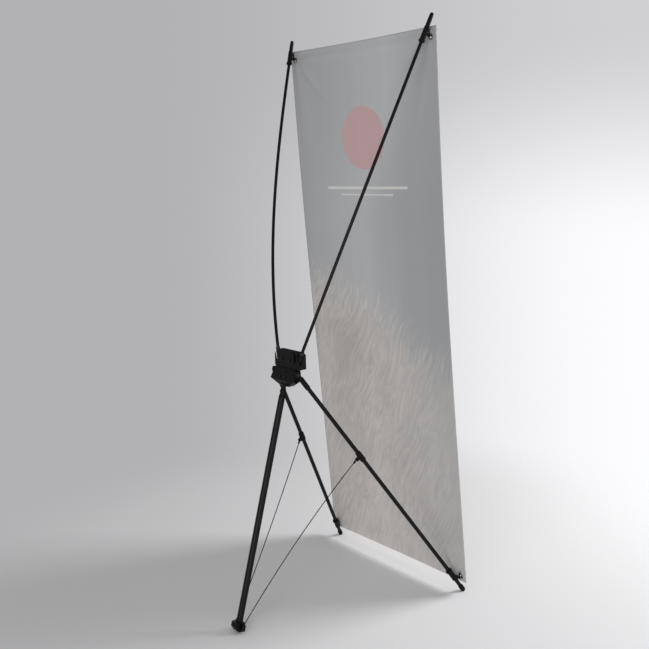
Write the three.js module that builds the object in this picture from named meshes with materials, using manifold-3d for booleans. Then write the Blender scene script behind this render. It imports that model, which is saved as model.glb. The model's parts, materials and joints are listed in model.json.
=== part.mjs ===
import * as THREE from 'three';
import { mergeVertices } from 'three/addons/utils/BufferGeometryUtils.js';
import Module from 'manifold-3d';

// X banner stand: a moulded hub holds two bent upper rods, two front legs and a rear leg.
// The printed sheet hangs by four eyelets from hooks on the rods and the front legs.
// Millimetres, +Z up. The printed side faces -Y and the rear leg stands towards +Y.
// "left" is +X and "right" is -X.

// Printed sheet
const sheetWidth = 600;
const sheetHeight = 1600;
const sheetThickness = 0.5;
const sheetLeanBack = 131.5;
const sheetLift = 35;
const sheetBow = 9;
const sheetBowSkew = 1.4;
const sheetEdgeDraw = 3;
const cornerCrease = 3.5;
const cornerCreaseWidth = 55;
const cornerCreaseReach = 260;
const sheetCellsAcross = 12;
const sheetCellsUp = 26;

// Eyelets
const eyeletInsetSide = 20;
const eyeletInsetTop = 26;
const eyeletInsetBottom = 16;
const eyeletBore = 8.4;
const eyeletBarrelWall = 1;
const eyeletFlange = 16;
const eyeletFlangeThickness = 0.8;

// Hub, an upper block for the rods and a lower block for the legs, set further back.
// Its height is that of the step between them, and rises and drops are from there.
const hubSetback = 409;
const hubHalfWidth = 50;
const upperBlockDepth = 34;
const lowerBlockDepth = 32;
const lowerBlockShift = 19;
const hubHeight = 726;
const hubBottomDrop = 51;
const hubFlankDrop = 32;
const hubShoulderRise = 39;
const hubCrownRise = 56;
const hubCrownSlope = 11;
const hubBottomInset = 10;
const hubBlockOverlap = 2;
const hubBottomHalfWidth = 20;
const hubCoverThickness = 4;
const hubCornerRadius = 6;
const hubRibPocketWidth = 4;
const hubRibPocketGap = 2;
const hubRibPocketAhead = 5.5;
const hubRibPocketDepth = 9;
const hubRibPocketHeight = 26;
const hubRibPocketCount = 3;
const hubWindowWidth = 26;
const hubWindowHeight = 18;
const hubWindowDepth = 5;

// Pivots
const pinDiameter = 5;
const pinHeadDiameter = 8;
const pinHeadThickness = 1.6;
const pinGrip = 5;
const rearPinGrip = 10;
const rodPivotInset = 10;
const rodPivotBack = 6.7;
const rodPivotRise = 11.3;
const legPivotOutset = 0.2;
const legPivotAhead = 3;
const legPivotDrop = 11;
const rearPivotDrop = 28.4;
const legBossDiameter = 17.6;
const legBossInboard = 15;
const legBossOutboard = 6.8;

// Upper rods, glass fibre, bent forwards by the pull of the sheet
const rodDiameter = 9;
const rodSeat = 13;
const rodRootHandleOut = 124.4;
const rodRootHandleFront = 53.9;
const rodRootHandleRise = 312;
const rodTipHandleIn = 59.3;
const rodTipHandleBack = 110;
const rodTipHandleDrop = 293.1;
const rodTipOutset = 8.4;
const rodTipSetback = 5.3;
const rodTipRise = 52.6;
const rodSteps = 28;
const rodSocketDiameter = 13;
const rodSocketStart = 9;
const rodSocketEnd = 33;
const rodEyeDiameter = 15;
const rodEyeThickness = 10;
const rodFerruleLength = 9;
const rodFerruleWall = 1.4;
const rodCapLength = 30;
const rodCapWall = 1.1;
const rodCapEnd = 6;
const rodHookSleeveLength = 42;
const rodHookSleeveWall = 2.2;
const rodHookSleeveDrop = 31;
const rodHookRimDiameter = 17;
const rodHookRimLength = 6;

// Front legs
const legTubeDiameter = 12;
const legTubeWall = 1;
const legFootInset = 0.8;
const legBehindSheet = 9.43;
const legFootRise = 6;
const legEyeDiameter = 14;
const legEyeThickness = 8;
const legNeckDiameter = 11;
const legSocketDiameter = 15;
const legSocketStart = 14;
const legSocketEnd = 52;
const legTubeSeat = 24;
const bootDiameter = 15;
const bootLength = 22;
const bootBoreDepth = 15;
const legHookSleeveLength = 40;
const legHookSleeveWall = 2;
const legHookSleeveRise = 42;
const legHookRimDiameter = 20;
const legHookRimLength = 8;

// Rear leg
const rearTubeDiameter = 19;
const rearTubeWall = 1.2;
const rearFootBack = 219.9;
const rearEyeDiameter = 16;
const rearEyeThickness = 12;
const rearNeckDiameter = 12.6;
const rearShoulderStart = 27;
const rearShoulderEnd = 41;
const rearPlugLength = 24;
const rearPlugWall = 1.6;

// Rear foot, its sole pad and the cord cleat
const rearBootWidth = 25;
const rearBootRear = 21;
const rearBootCorner = 6;
const rearBootEnd = 3;
const rearBootHeight = 29;
const rearBootSeatDepth = 19;
const rearBootHeel = 4;
const rearBootHeelRise = 17;
const rearPadWidth = 17;
const rearPadLength = 11;
const rearPadHeight = 3;
const rearPadAhead = 7;
const cleatWall = 3;
const cleatStrapBottom = 8;
const cleatStrapTop = 20;
const cleatEarDiameter = 12;
const cleatEarBottom = 8;
const cleatEarTop = 24.5;
const cleatEarAhead = 3;
const cleatHoleDiameter = 3.4;
const cleatHoleDepth = 8;
const cleatScrewHead = 1.8;
const cleatScrewDiameter = 6;

// Cords and the collars that hold them
const cordDiameter = 2.6;
const cordSteps = 12;
const cordBowIn = 9;
const cordEndLift = 0.9;
const cordBowUp = 6;
const collarShare = 0.64;
const collarLength = 30;
const collarWall = 2.1;
const collarLugReach = 9;
const collarLugWidth = 8;
const collarLugLength = 10;
const collarLugHole = 3.6;
const rivetDiameter = 6;
const rivetHeadThickness = 1.4;
const rivetShankDiameter = 3;

// Hooks
const hookWireDiameter = 4.2;
const hookPegReach = 6.5;
const hookTipLength = 9;
const hookClawRise = 17;
const hookClawSetback = 6.5;
const hookArmDiameter = 7;
const hookSideShare = 0.5;

// Screws
const screwHeadDiameter = 7;
const screwHeadThickness = 2;
const screwShankDiameter = 3;
const screwShankLength = 12;
const lowerScrewShankLength = 7;
const cleatScrewShankLength = 4.8;
const upperScrewOut = 16;
const upperScrewRise = 24;
const lowerScrewOut = 11;
const lowerScrewDrop = 24;
const centreScrewDrop = 8;

// Fits
const gap = 0.3;
const slotClearance = 0.6;
const pinClearance = 0.3;
const cutOverrun = 5;
const weldDistance = 0.0001;
const roundSides = 20;
const smallSides = 10;
const cordSides = 8;
const ballSides = 8;
const ballRings = 6;
const rodSides = 10;
const outlineSegments = 6;
const slotBackSteps = 6;

// Finishes
const finish = (color, roughness, metalness) =>
  new THREE.MeshStandardMaterial({ color, roughness, metalness });
const blackMoulding = finish(0x1c1c1e, 0.5, 0);
const blackGlassFibre = finish(0x161618, 0.38, 0);
const blackPaintedTube = finish(0x222225, 0.4, 0.3);
const blackRubber = finish(0x18181a, 0.75, 0);
const blackCord = finish(0x2a2a2c, 0.85, 0);
const blackSteel = finish(0x1d1d1f, 0.45, 0.6);
const steel = finish(0x9a9b9e, 0.35, 1);
const nickel = finish(0xb8b9bc, 0.3, 1);
const translucentPrint = finish(0x9ea09c, 0.6, 0);

const vector = (x, y, z) => new THREE.Vector3(x, y, z);
const up = vector(0, 0, 1);
const mirrored = (point, side) => vector(point.x * side, point.y, point.z);
const sides = { left: 1, right: -1 };

const wasm = await Module();
wasm.setup();

// Drops triangles that a pole or a weld has closed to a line
function wholeTriangles(index) {
  const kept = [];
  for (let i = 0; i < index.length; i += 3) {
    const [a, b, c] = [index[i], index[i + 1], index[i + 2]];
    if (a !== b && b !== c && c !== a) kept.push(a, b, c);
  }
  return kept;
}

function signedVolume(position, index) {
  let total = 0;
  const corner = [vector(0, 0, 0), vector(0, 0, 0), vector(0, 0, 0)];
  for (let i = 0; i < index.length; i += 3) {
    corner.forEach((point, k) => point.fromArray(position, index[i + k] * 3));
    total += corner[0].dot(corner[1].clone().cross(corner[2]));
  }
  return total;
}

// Turns a closed three.js geometry into a solid that can be joined and cut
function solidOf(geometry) {
  const plain = geometry.clone();
  plain.deleteAttribute('normal');
  plain.deleteAttribute('uv');
  const merged = mergeVertices(plain, weldDistance);
  const position = merged.attributes.position.array;
  const index = wholeTriangles(merged.index.array);
  if (signedVolume(position, index) < 0) index.reverse();
  return new wasm.Manifold(new wasm.Mesh({
    numProp: 3,
    vertProperties: new Float32Array(position),
    triVerts: new Uint32Array(index),
  }));
}

function geometryOf(solid) {
  const shape = solid.getMesh();
  const geometry = new THREE.BufferGeometry();
  geometry.setAttribute('position', new THREE.BufferAttribute(new Float32Array(shape.vertProperties), 3));
  geometry.setIndex(new THREE.BufferAttribute(new Uint32Array(shape.triVerts), 1));
  geometry.computeVertexNormals();
  return geometry;
}

function addPiece(parent, name, solid, material) {
  const piece = new THREE.Mesh(geometryOf(solid), material);
  piece.name = name;
  parent.add(piece);
  return piece;
}

const join = (...solids) => solids.reduce((whole, next) => whole.add(next));
const cut = (solid, ...tools) => tools.reduce((rest, tool) => rest.subtract(tool), solid);

// A turned shape about the local Z axis, from [radius, height] pairs
function turned(profile, sideCount = roundSides) {
  const points = profile.map(([radius, height]) => new THREE.Vector2(radius, height));
  return solidOf(new THREE.LatheGeometry(points, sideCount).rotateX(Math.PI / 2));
}

const ring = (inner, outer, low, high, sideCount = roundSides) =>
  turned([[inner, low], [outer, low], [outer, high], [inner, high], [inner, low]], sideCount);
const post = (radius, low, high, sideCount = roundSides) =>
  turned([[0, low], [radius, low], [radius, high], [0, high]], sideCount);

// A post along X, Y or any other direction, between two points
function postBetween(from, to, radius, sideCount = roundSides) {
  const length = from.distanceTo(to);
  const geometry = new THREE.CylinderGeometry(radius, radius, length, sideCount);
  const direction = to.clone().sub(from).normalize();
  geometry.applyQuaternion(new THREE.Quaternion().setFromUnitVectors(vector(0, 1, 0), direction));
  const middle = from.clone().add(to).divideScalar(2);
  return solidOf(geometry.translate(middle.x, middle.y, middle.z));
}

function ball(centre, radius) {
  const sphere = new THREE.SphereGeometry(radius, ballSides, ballRings);
  return solidOf(sphere.translate(centre.x, centre.y, centre.z));
}

function block(width, depth, height, centre) {
  return solidOf(new THREE.BoxGeometry(width, depth, height).translate(centre.x, centre.y, centre.z));
}

const thickened = (shape, depth) => new THREE.ExtrudeGeometry(
  shape, { depth, bevelEnabled: false, curveSegments: outlineSegments });

// A flat shape drawn in X and Z, thickened from its rear face at rearY towards the front
const slab = (shape, rearY, thickness) =>
  solidOf(thickened(shape, thickness).rotateX(Math.PI / 2).translate(0, rearY, 0));

// A flat shape drawn in Y and Z, thickened evenly about the local X axis
function slabAcross(shape, thickness) {
  const turn = new THREE.Matrix4().makeBasis(vector(0, 1, 0), vector(0, 0, 1), vector(1, 0, 0));
  return solidOf(thickened(shape, thickness).translate(0, 0, -thickness / 2).applyMatrix4(turn));
}

// A round bar that follows a path
function barAlong(path, diameter, sideCount, steps) {
  const section = new THREE.Shape();
  section.absarc(0, 0, diameter / 2, 0, Math.PI * 2);
  return solidOf(new THREE.ExtrudeGeometry(
    section, { steps, bevelEnabled: false, extrudePath: path, curveSegments: sideCount / 2 }));
}

// Moves a solid made in a group's own frame into the stand's frame, or back
function moved(solid, matrix) {
  return solidOf(geometryOf(solid).applyMatrix4(matrix));
}

const intoStand = (solid, group) => moved(solid, group.matrix);
const outOfStand = (solid, group) => moved(solid, group.matrix.clone().invert());
const localPoint = (point, group) => point.clone().applyMatrix4(group.matrix.clone().invert());

// An arm's frame: its pivot is the origin, +Z runs out along the arm, +X is the fold's axis
function armFrame(name, pivot, outward, foldAxis, fold = 0) {
  const group = new THREE.Group();
  group.name = name;
  group.userData.fold = fold;
  const axisZ = outward.clone().normalize();
  const axisX = foldAxis.clone().projectOnPlane(axisZ).normalize();
  const basis = new THREE.Matrix4().makeBasis(axisX, axisZ.clone().cross(axisX), axisZ);
  group.quaternion.setFromRotationMatrix(basis);
  group.position.copy(pivot);
  group.updateMatrix();
  return group;
}

// The sheet's plane, leaning back, with its bottom edge over y = 0
const leanAngle = Math.asin(sheetLeanBack / sheetHeight);
const sheetUp = vector(0, Math.sin(leanAngle), Math.cos(leanAngle));
const sheetRear = vector(0, Math.cos(leanAngle), -Math.sin(leanAngle));
const onSheet = (across, along) =>
  vector(across, 0, sheetLift).addScaledVector(sheetUp, along);

// An eyelet's middle, on the hanging sheet
function eyeletPlace(along) {
  const across = 1 - eyeletInsetSide / sheetWidth;
  return onSheet(sheetWidth / 2 - eyeletInsetSide, along)
    .addScaledVector(sheetRear, sheetFold(across, along / sheetHeight));
}

const topEyelet = eyeletPlace(sheetHeight - eyeletInsetTop);
const bottomEyelet = eyeletPlace(eyeletInsetBottom);

// Hub planes
const upperRear = hubSetback + upperBlockDepth / 2;
const lowerMiddle = hubSetback + lowerBlockShift;
const lowerRear = lowerMiddle + lowerBlockDepth / 2;
const hubBottom = hubHeight - hubBottomDrop;
const hubFlank = hubHeight - hubFlankDrop;
const hubShoulder = hubHeight + hubShoulderRise;
const hubCrown = hubHeight + hubCrownRise;

// Pivots and directions of the five arms, the left ones of each pair
const rodPivot = vector(hubHalfWidth - rodPivotInset, hubSetback + rodPivotBack, hubHeight + rodPivotRise);
const rodTip = topEyelet.clone().add(vector(rodTipOutset, rodTipSetback, rodTipRise));
const rodRootHandle = vector(rodRootHandleOut, -rodRootHandleFront, rodRootHandleRise);
const rodOutward = rodRootHandle.clone().normalize();
const rodChord = rodTip.clone().sub(rodPivot).normalize();
const legPivot = vector(
  hubHalfWidth + legPivotOutset, lowerMiddle - legPivotAhead, hubHeight - legPivotDrop);
// A front leg crosses behind the sheet's bottom edge and ends in front of it
const legCrossing = (sheetLift - legFootRise) / (legPivot.z - legFootRise);
const legFootY = (legBehindSheet - legPivot.y * legCrossing) / (1 - legCrossing);
const legFoot = vector(bottomEyelet.x - legFootInset, legFootY, legFootRise);
const legOutward = legFoot.clone().sub(legPivot).normalize();
const rearPivot = vector(0, lowerMiddle, hubHeight - rearPivotDrop);
const rearSole = vector(0, hubSetback + rearFootBack, 0);
const rearOutward = rearSole.clone().sub(rearPivot).normalize();

// A rod folds until its pivot and tip stand in line, about an axis square to its root
const rodFoldAxis = rodChord.clone().sub(up).cross(rodOutward).normalize();
const down = up.clone().negate();
const legFoldAxis = legOutward.clone().cross(down).normalize();
const rearFoldAxis = rearOutward.clone().cross(down).normalize();

// The turn about an axis that brings one direction onto another
function turnAngle(from, to, axis) {
  const flatFrom = from.clone().projectOnPlane(axis);
  const flatTo = to.clone().projectOnPlane(axis);
  return flatFrom.angleTo(flatTo);
}

const rodFold = turnAngle(rodChord, up, rodFoldAxis);
const legFold = turnAngle(legOutward, down, legFoldAxis);
const rearFold = turnAngle(rearOutward, down, rearFoldAxis);

// An axis is not a plain direction: in the mirror its X stays and the others turn over
const mirroredAxis = (axis, side) => vector(axis.x, axis.y * side, axis.z * side);

const stand = new THREE.Group();
const arms = {};
for (const [sideName, side] of Object.entries(sides)) {
  arms[`rod_${sideName}`] = armFrame(
    `rod_arm_${sideName}`, mirrored(rodPivot, side), mirrored(rodOutward, side),
    mirroredAxis(rodFoldAxis, side), rodFold);
  arms[`leg_${sideName}`] = armFrame(
    `leg_arm_${sideName}`, mirrored(legPivot, side), mirrored(legOutward, side),
    mirroredAxis(legFoldAxis, side), legFold);
}
arms.rear = armFrame('rear_arm', rearPivot, rearOutward, rearFoldAxis, rearFold);
Object.values(arms).forEach((arm) => stand.add(arm));

// The room that an arm sweeps as it folds, from inner to outer reach, in the arm's frame
function swingRoom(fold, halfThickness, halfWidth, inner, outer) {
  const turnedPoint = (y, z, angle) => new THREE.Vector2(
    y * Math.cos(angle) - z * Math.sin(angle), y * Math.sin(angle) + z * Math.cos(angle));
  const points = [
    turnedPoint(halfWidth, inner, 0),
    turnedPoint(halfWidth, outer, 0),
    turnedPoint(0, outer, fold / 2),
    turnedPoint(-halfWidth, outer, fold),
    turnedPoint(-halfWidth, inner, fold),
  ];
  if (inner === 0) {
    // Round the back of the eye
    for (let step = 1; step < slotBackSteps; step += 1) {
      const angle = fold + (Math.PI - fold) * (step / slotBackSteps);
      points.push(turnedPoint(-halfWidth, 0, angle));
    }
  } else {
    points.push(turnedPoint(0, inner, fold / 2));
  }
  return slabAcross(new THREE.Shape(points), halfThickness * 2);
}

// The eye on its pin, a round neck, and whatever the profile turns beyond it
function knuckle(eyeDiameter, eyeThickness, neckRadius, profile, bores) {
  const half = eyeThickness / 2;
  const eye = postBetween(vector(-half, 0, 0), vector(half, 0, 0), eyeDiameter / 2);
  const neckEnd = profile[0][1];
  const flats = block(eyeThickness, eyeDiameter, neckEnd * 2 + eyeDiameter, vector(0, 0, 0));
  const neck = post(neckRadius, 0, neckEnd + gap).intersect(flats);
  const beyond = turned([[0, neckEnd], ...profile, [0, profile[profile.length - 1][1]]]);
  const body = join(eye, neck, beyond);
  const pinBore = postBetween(
    vector(-eyeThickness, 0, 0), vector(eyeThickness, 0, 0), pinDiameter / 2 + pinClearance, smallSides);
  return cut(body, pinBore, ...bores);
}

// A plain pin along X
const plainPin = (from, to, radius = pinDiameter / 2) =>
  postBetween(vector(from, 0, 0), vector(to, 0, 0), radius, smallSides);

// A headed pin along X, its head on the side given
function headedPin(inboard, outboard, side) {
  const face = (outboard + gap) * side;
  const top = (outboard + gap + pinHeadThickness) * side;
  return join(plainPin(-inboard * side, top), plainPin(face, top, pinHeadDiameter / 2));
}

// Hub outlines, drawn in X and Z
function upperOutline() {
  const low = hubHeight - hubBlockOverlap;
  const shape = new THREE.Shape();
  shape.moveTo(-hubHalfWidth, low);
  shape.lineTo(hubHalfWidth, low);
  shape.lineTo(hubHalfWidth, hubShoulder);
  shape.quadraticCurveTo(hubHalfWidth / 2, hubCrown, 0, hubCrown);
  shape.quadraticCurveTo(-hubHalfWidth / 2, hubCrown, -hubHalfWidth, hubShoulder);
  return shape;
}

function lowerOutline() {
  const shape = new THREE.Shape();
  shape.moveTo(-hubBottomHalfWidth, hubBottom);
  shape.lineTo(hubBottomHalfWidth, hubBottom);
  shape.lineTo(hubHalfWidth, hubFlank);
  shape.lineTo(hubHalfWidth, hubHeight - hubCornerRadius);
  shape.lineTo(hubHalfWidth - hubCornerRadius, hubHeight);
  shape.lineTo(-hubHalfWidth + hubCornerRadius, hubHeight);
  shape.lineTo(-hubHalfWidth, hubHeight - hubCornerRadius);
  shape.lineTo(-hubHalfWidth, hubFlank);
  return shape;
}

// The rooms for one arm's flat eye and, from neckStart outwards, its round neck
function armRooms(arm, eyeThickness, eyeDiameter, neckDiameter, neckStart) {
  const reach = hubHalfWidth + cutOverrun * 2;
  const { fold } = arm.userData;
  const half = (size) => size / 2 + slotClearance;
  return [
    swingRoom(fold, half(eyeThickness), half(eyeDiameter), 0, reach),
    swingRoom(fold, half(neckDiameter), half(neckDiameter), neckStart - slotClearance, reach),
  ].map((room) => intoStand(room, arm));
}

function hubRooms() {
  const pairs = Object.keys(sides).flatMap((sideName) => [
    ...armRooms(arms[`rod_${sideName}`], rodEyeThickness, rodEyeDiameter, rodSocketDiameter, rodSocketStart),
    ...armRooms(arms[`leg_${sideName}`], legEyeThickness, legEyeDiameter, legSocketDiameter, legSocketStart),
  ]);
  const rear = armRooms(arms.rear, rearEyeThickness, rearEyeDiameter, rearTubeDiameter, rearShoulderStart);
  return [...pairs, ...rear];
}

const rodPinHalf = rodEyeThickness / 2 + pinGrip;
const rearPinHalf = rearEyeThickness / 2 + rearPinGrip;

// The holes that the pins sit in. The front legs' holes are open towards the pins' heads.
function hubPinBores() {
  const radius = pinDiameter / 2 + gap;
  const bores = [intoStand(plainPin(-rearPinHalf - gap, rearPinHalf + gap, radius), arms.rear)];
  for (const [sideName, side] of Object.entries(sides)) {
    const rodBore = plainPin(-rodPinHalf - gap, rodPinHalf + gap, radius);
    const legBore = plainPin((gap - legBossInboard) * side, (legBossOutboard + cutOverrun) * side, radius);
    bores.push(intoStand(rodBore, arms[`rod_${sideName}`]), intoStand(legBore, arms[`leg_${sideName}`]));
  }
  return bores;
}

// A place on the lower block's slanting rear face
const onSlope = (across, drop) => vector(
  across, upperRear + (lowerRear - upperRear) * (drop / hubFlankDrop), hubHeight - drop);
const slopeOut = vector(0, hubFlankDrop, lowerRear - upperRear).normalize();

const hubScrews = {};
for (const [sideName, side] of Object.entries(sides)) {
  hubScrews[`hub_upper_screw_${sideName}`] = {
    face: vector(upperScrewOut * side, upperRear, hubHeight + upperScrewRise),
    out: vector(0, 1, 0),
    shank: screwShankLength,
  };
  hubScrews[`hub_lower_screw_${sideName}`] = {
    face: onSlope(lowerScrewOut * side, lowerScrewDrop),
    out: slopeOut,
    shank: lowerScrewShankLength,
  };
}
hubScrews.hub_centre_screw = {
  face: onSlope(0, centreScrewDrop), out: slopeOut, shank: lowerScrewShankLength,
};

// A screw whose head rests on a face
function screw({ face, out, shank }, headDiameter = screwHeadDiameter, headThickness = screwHeadThickness) {
  const seat = face.clone().addScaledVector(out, gap);
  const top = seat.clone().addScaledVector(out, headThickness);
  const shankEnd = face.clone().addScaledVector(out, -shank);
  const head = postBetween(seat, top, headDiameter / 2, smallSides);
  return join(head, postBetween(shankEnd, top, screwShankDiameter / 2, cordSides));
}

function screwBore({ face, out, shank }) {
  const deep = face.clone().addScaledVector(out, -shank - gap);
  const mouth = face.clone().addScaledVector(out, cutOverrun);
  return postBetween(deep, mouth, screwShankDiameter / 2 + gap, cordSides);
}

// Slots between ribs, moulded into each slanting flank of the lower block
function ribPockets() {
  const pockets = [];
  const pitch = hubRibPocketWidth + hubRibPocketGap;
  const flankMiddle = (hubBottomHalfWidth + hubHalfWidth) / 2 + hubRibPocketDepth;
  const height = (hubBottom + hubFlank) / 2;
  for (const side of Object.values(sides)) {
    for (let count = 0; count < hubRibPocketCount; count += 1) {
      const shift = (count - (hubRibPocketCount - 1) / 2) * pitch;
      pockets.push(block(hubRibPocketDepth * 2, hubRibPocketWidth, hubRibPocketHeight,
        vector(flankMiddle * side, lowerMiddle - hubRibPocketAhead + shift, height)));
    }
  }
  return pockets;
}

// The round bosses about the front legs' pins, with some room added where they are cut
const legBosses = (room) => Object.entries(sides).map(([sideName, side]) => {
  const from = vector((-legBossInboard - room) * side, 0, 0);
  const to = vector((legBossOutboard + room) * side, 0, 0);
  return intoStand(postBetween(from, to, legBossDiameter / 2 + room), arms[`leg_${sideName}`]);
});

// The room behind the lower block's rear face, which slants in to the step and to the bottom
function behindLower(ahead) {
  const bottom = lowerRear - hubBottomInset - ahead;
  const top = upperRear - ahead;
  const out = lowerRear + cutOverrun;
  return slabAcross(new THREE.Shape([
    new THREE.Vector2(bottom, hubBottom - cutOverrun), new THREE.Vector2(bottom, hubBottom),
    new THREE.Vector2(lowerRear - ahead, hubFlank), new THREE.Vector2(top, hubHeight),
    new THREE.Vector2(top, hubHeight + cutOverrun), new THREE.Vector2(out, hubHeight + cutOverrun),
    new THREE.Vector2(out, hubBottom - cutOverrun)]), hubHalfWidth * 3);
}

// The room above the upper block's top, which slopes down to the front
function aboveCrown() {
  const front = hubSetback - upperBlockDepth / 2;
  return slabAcross(new THREE.Shape([
    new THREE.Vector2(front, hubCrown - hubCrownSlope), new THREE.Vector2(upperRear, hubCrown),
    new THREE.Vector2(upperRear + cutOverrun, hubCrown + cutOverrun),
    new THREE.Vector2(front - cutOverrun, hubCrown + cutOverrun),
    new THREE.Vector2(front - cutOverrun, hubCrown - hubCrownSlope)]), hubHalfWidth * 3);
}

function buildHub() {
  const bores = [...hubPinBores(), ...Object.values(hubScrews).map(screwBore)];
  const rooms = [...hubRooms(), ...bores];
  const coverSeat = hubCoverThickness + gap;
  const crownRoom = aboveCrown();
  const upper = cut(slab(upperOutline(), upperRear - coverSeat, upperBlockDepth - coverSeat), crownRoom);
  const lowerWhole = slab(lowerOutline(), lowerRear, lowerBlockDepth);
  const lower = cut(lowerWhole, behindLower(coverSeat));
  const window = block(hubWindowWidth, hubWindowDepth * 2, hubWindowHeight,
    vector(0, hubSetback - upperBlockDepth / 2, (hubHeight + hubShoulder) / 2));
  const body = cut(join(upper, lower, ...legBosses(0)), ...rooms, ...ribPockets(), window);
  const bossRooms = legBosses(gap);
  const stepRoom = block(hubHalfWidth * 3, lowerBlockDepth, hubHeight,
    vector(0, lowerMiddle, hubHeight / 2 + gap));
  const upperCover = cut(slab(upperOutline(), upperRear, hubCoverThickness), crownRoom);
  const lowerCover = cut(lowerWhole, behindLower(0)).intersect(behindLower(hubCoverThickness));
  addPiece(stand, 'hub_body', body, blackMoulding);
  addPiece(stand, 'hub_upper_cover', cut(upperCover, stepRoom, ...rooms, ...bossRooms), blackMoulding);
  addPiece(stand, 'hub_lower_cover', cut(lowerCover, ...rooms, ...bossRooms), blackMoulding);
  for (const [name, place] of Object.entries(hubScrews)) addPiece(stand, name, screw(place), blackSteel);
}

// One upper rod, bent by the pull of the sheet, and the pieces on it
function buildRod(sideName, side) {
  const arm = arms[`rod_${sideName}`];
  const root = mirrored(rodPivot.clone().addScaledVector(rodOutward, rodSeat), side);
  const tip = mirrored(rodTip, side);
  const rootControl = root.clone().add(mirrored(rodRootHandle, side));
  const tipHandle = mirrored(vector(-rodTipHandleIn, rodTipHandleBack, -rodTipHandleDrop), side);
  const line = new THREE.CubicBezierCurve3(root, rootControl, tip.clone().add(tipHandle), tip);
  const rod = barAlong(line, rodDiameter, rodSides, rodSteps);
  addPiece(arm, `rod_${sideName}`, outOfStand(rod, arm), blackGlassFibre);
  buildRodRoot(sideName, arm, line);
  buildRodEnd(sideName, side, line);
}

// The knuckle and ferrule at the rod's root. Their bore is in line with the stretch that they hold.
function buildRodRoot(sideName, arm, line) {
  const ferruleEnd = rodSocketEnd + rodFerruleLength;
  const seat = vector(0, 0, rodSeat);
  const heldEnd = localPoint(line.getPointAt((ferruleEnd - rodSeat) / line.getLength()), arm);
  const rodAxis = heldEnd.clone().sub(seat).normalize();
  const rodHole = rodDiameter / 2 + gap;
  const rodBore = postBetween(
    seat.addScaledVector(rodAxis, -gap), heldEnd.addScaledVector(rodAxis, cutOverrun), rodHole);
  const socketRadius = rodSocketDiameter / 2;
  const profile = [[socketRadius, rodSocketStart], [socketRadius, rodSocketEnd]];
  const ferrule = post(rodHole + rodFerruleWall, rodSocketEnd + gap, ferruleEnd);
  addPiece(arm, `rod_knuckle_${sideName}`,
    knuckle(rodEyeDiameter, rodEyeThickness, socketRadius, profile, [rodBore]), blackMoulding);
  addPiece(stand, `rod_pin_${sideName}`, intoStand(plainPin(-rodPinHalf, rodPinHalf), arm), blackSteel);
  addPiece(arm, `rod_ferrule_${sideName}`, cut(ferrule, rodBore), blackSteel);
}

// The rod's end cap and its hook, each in line with the stretch of the rod that it holds
function buildRodEnd(sideName, side, line) {
  const arm = arms[`rod_${sideName}`];
  const rodLength = line.getLength();
  const onRod = (drop) => line.getPointAt(1 - drop / rodLength);
  const tip = onRod(0);
  const tipFrame = armFrame(`rod_tip_${sideName}`, tip, tip.clone().sub(onRod(rodCapLength)), sheetRear);
  const inner = rodDiameter / 2 + gap;
  const capOuter = inner + rodCapWall;
  const cap = turned([
    [inner, -rodCapLength], [capOuter, -rodCapLength], [capOuter, gap],
    [capOuter * Math.cos(Math.PI / 4), rodCapEnd * Math.sin(Math.PI / 4)], [0, rodCapEnd],
    [0, gap], [inner, gap], [inner, -rodCapLength]]);
  addPiece(arm, `rod_cap_${sideName}`, outOfStand(intoStand(cap, tipFrame), arm), blackMoulding);

  const eyelet = mirrored(topEyelet, side);
  const sleeveTop = onRod(rodHookSleeveDrop);
  const sleeveBottom = onRod(rodHookSleeveDrop + rodHookSleeveLength);
  const sleeveAxis = sleeveTop.clone().sub(sleeveBottom).normalize();
  const rimTop = sleeveBottom.clone().addScaledVector(sleeveAxis, rodHookRimLength);
  const sleeve = join(
    postBetween(sleeveBottom, sleeveTop, inner + rodHookSleeveWall),
    postBetween(sleeveBottom, rimTop, rodHookRimDiameter / 2));
  const bore = postBetween(
    sleeveBottom.clone().addScaledVector(sleeveAxis, -cutOverrun),
    sleeveTop.clone().addScaledVector(sleeveAxis, cutOverrun), inner);
  const hookSolid = hook(eyelet, nearestOn(sleeveTop, sleeveAxis, eyelet), 1, side);
  const sleeved = cut(join(sleeve, hookSolid), bore);
  addPiece(arm, `rod_hook_${sideName}`, outOfStand(sleeved, arm), blackMoulding);
}

// The point of a line that lies square behind the target
function nearestOn(origin, direction, target) {
  const along = target.clone().sub(origin).dot(direction);
  return origin.clone().addScaledVector(direction, along);
}

// The hook that holds an eyelet: an arm off the sleeve, a claw behind the sheet, a peg
// through the eyelet and a short tip in front that keeps it on. pull is 1 for a top hook.
function hook(eyelet, sleevePoint, pull, side) {
  const wire = hookWireDiameter / 2;
  const away = vector(side * hookSideShare, 0, 0).addScaledVector(sheetUp, pull).normalize();
  const pegMiddle = eyelet.clone().addScaledVector(away, eyeletBore / 2 - wire - gap);
  const elbow = pegMiddle.clone().addScaledVector(sheetRear, hookClawSetback);
  const pegEnd = pegMiddle.clone().addScaledVector(sheetRear, -hookPegReach);
  const tipEnd = pegEnd.clone().addScaledVector(away, hookTipLength);
  const clawEnd = elbow.clone().addScaledVector(sheetUp, hookClawRise);
  return join(
    postBetween(sleevePoint, elbow, hookArmDiameter / 2, smallSides),
    ball(elbow, hookArmDiameter / 2),
    postBetween(elbow, pegEnd, wire, smallSides),
    ball(pegEnd, wire),
    postBetween(pegEnd, tipEnd, wire, smallSides),
    ball(tipEnd, wire),
    postBetween(elbow, clawEnd, wire, smallSides),
    ball(clawEnd, wire));
}

const legLength = legFoot.distanceTo(legPivot);
const collarPlace = legLength * (1 - collarShare);

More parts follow.
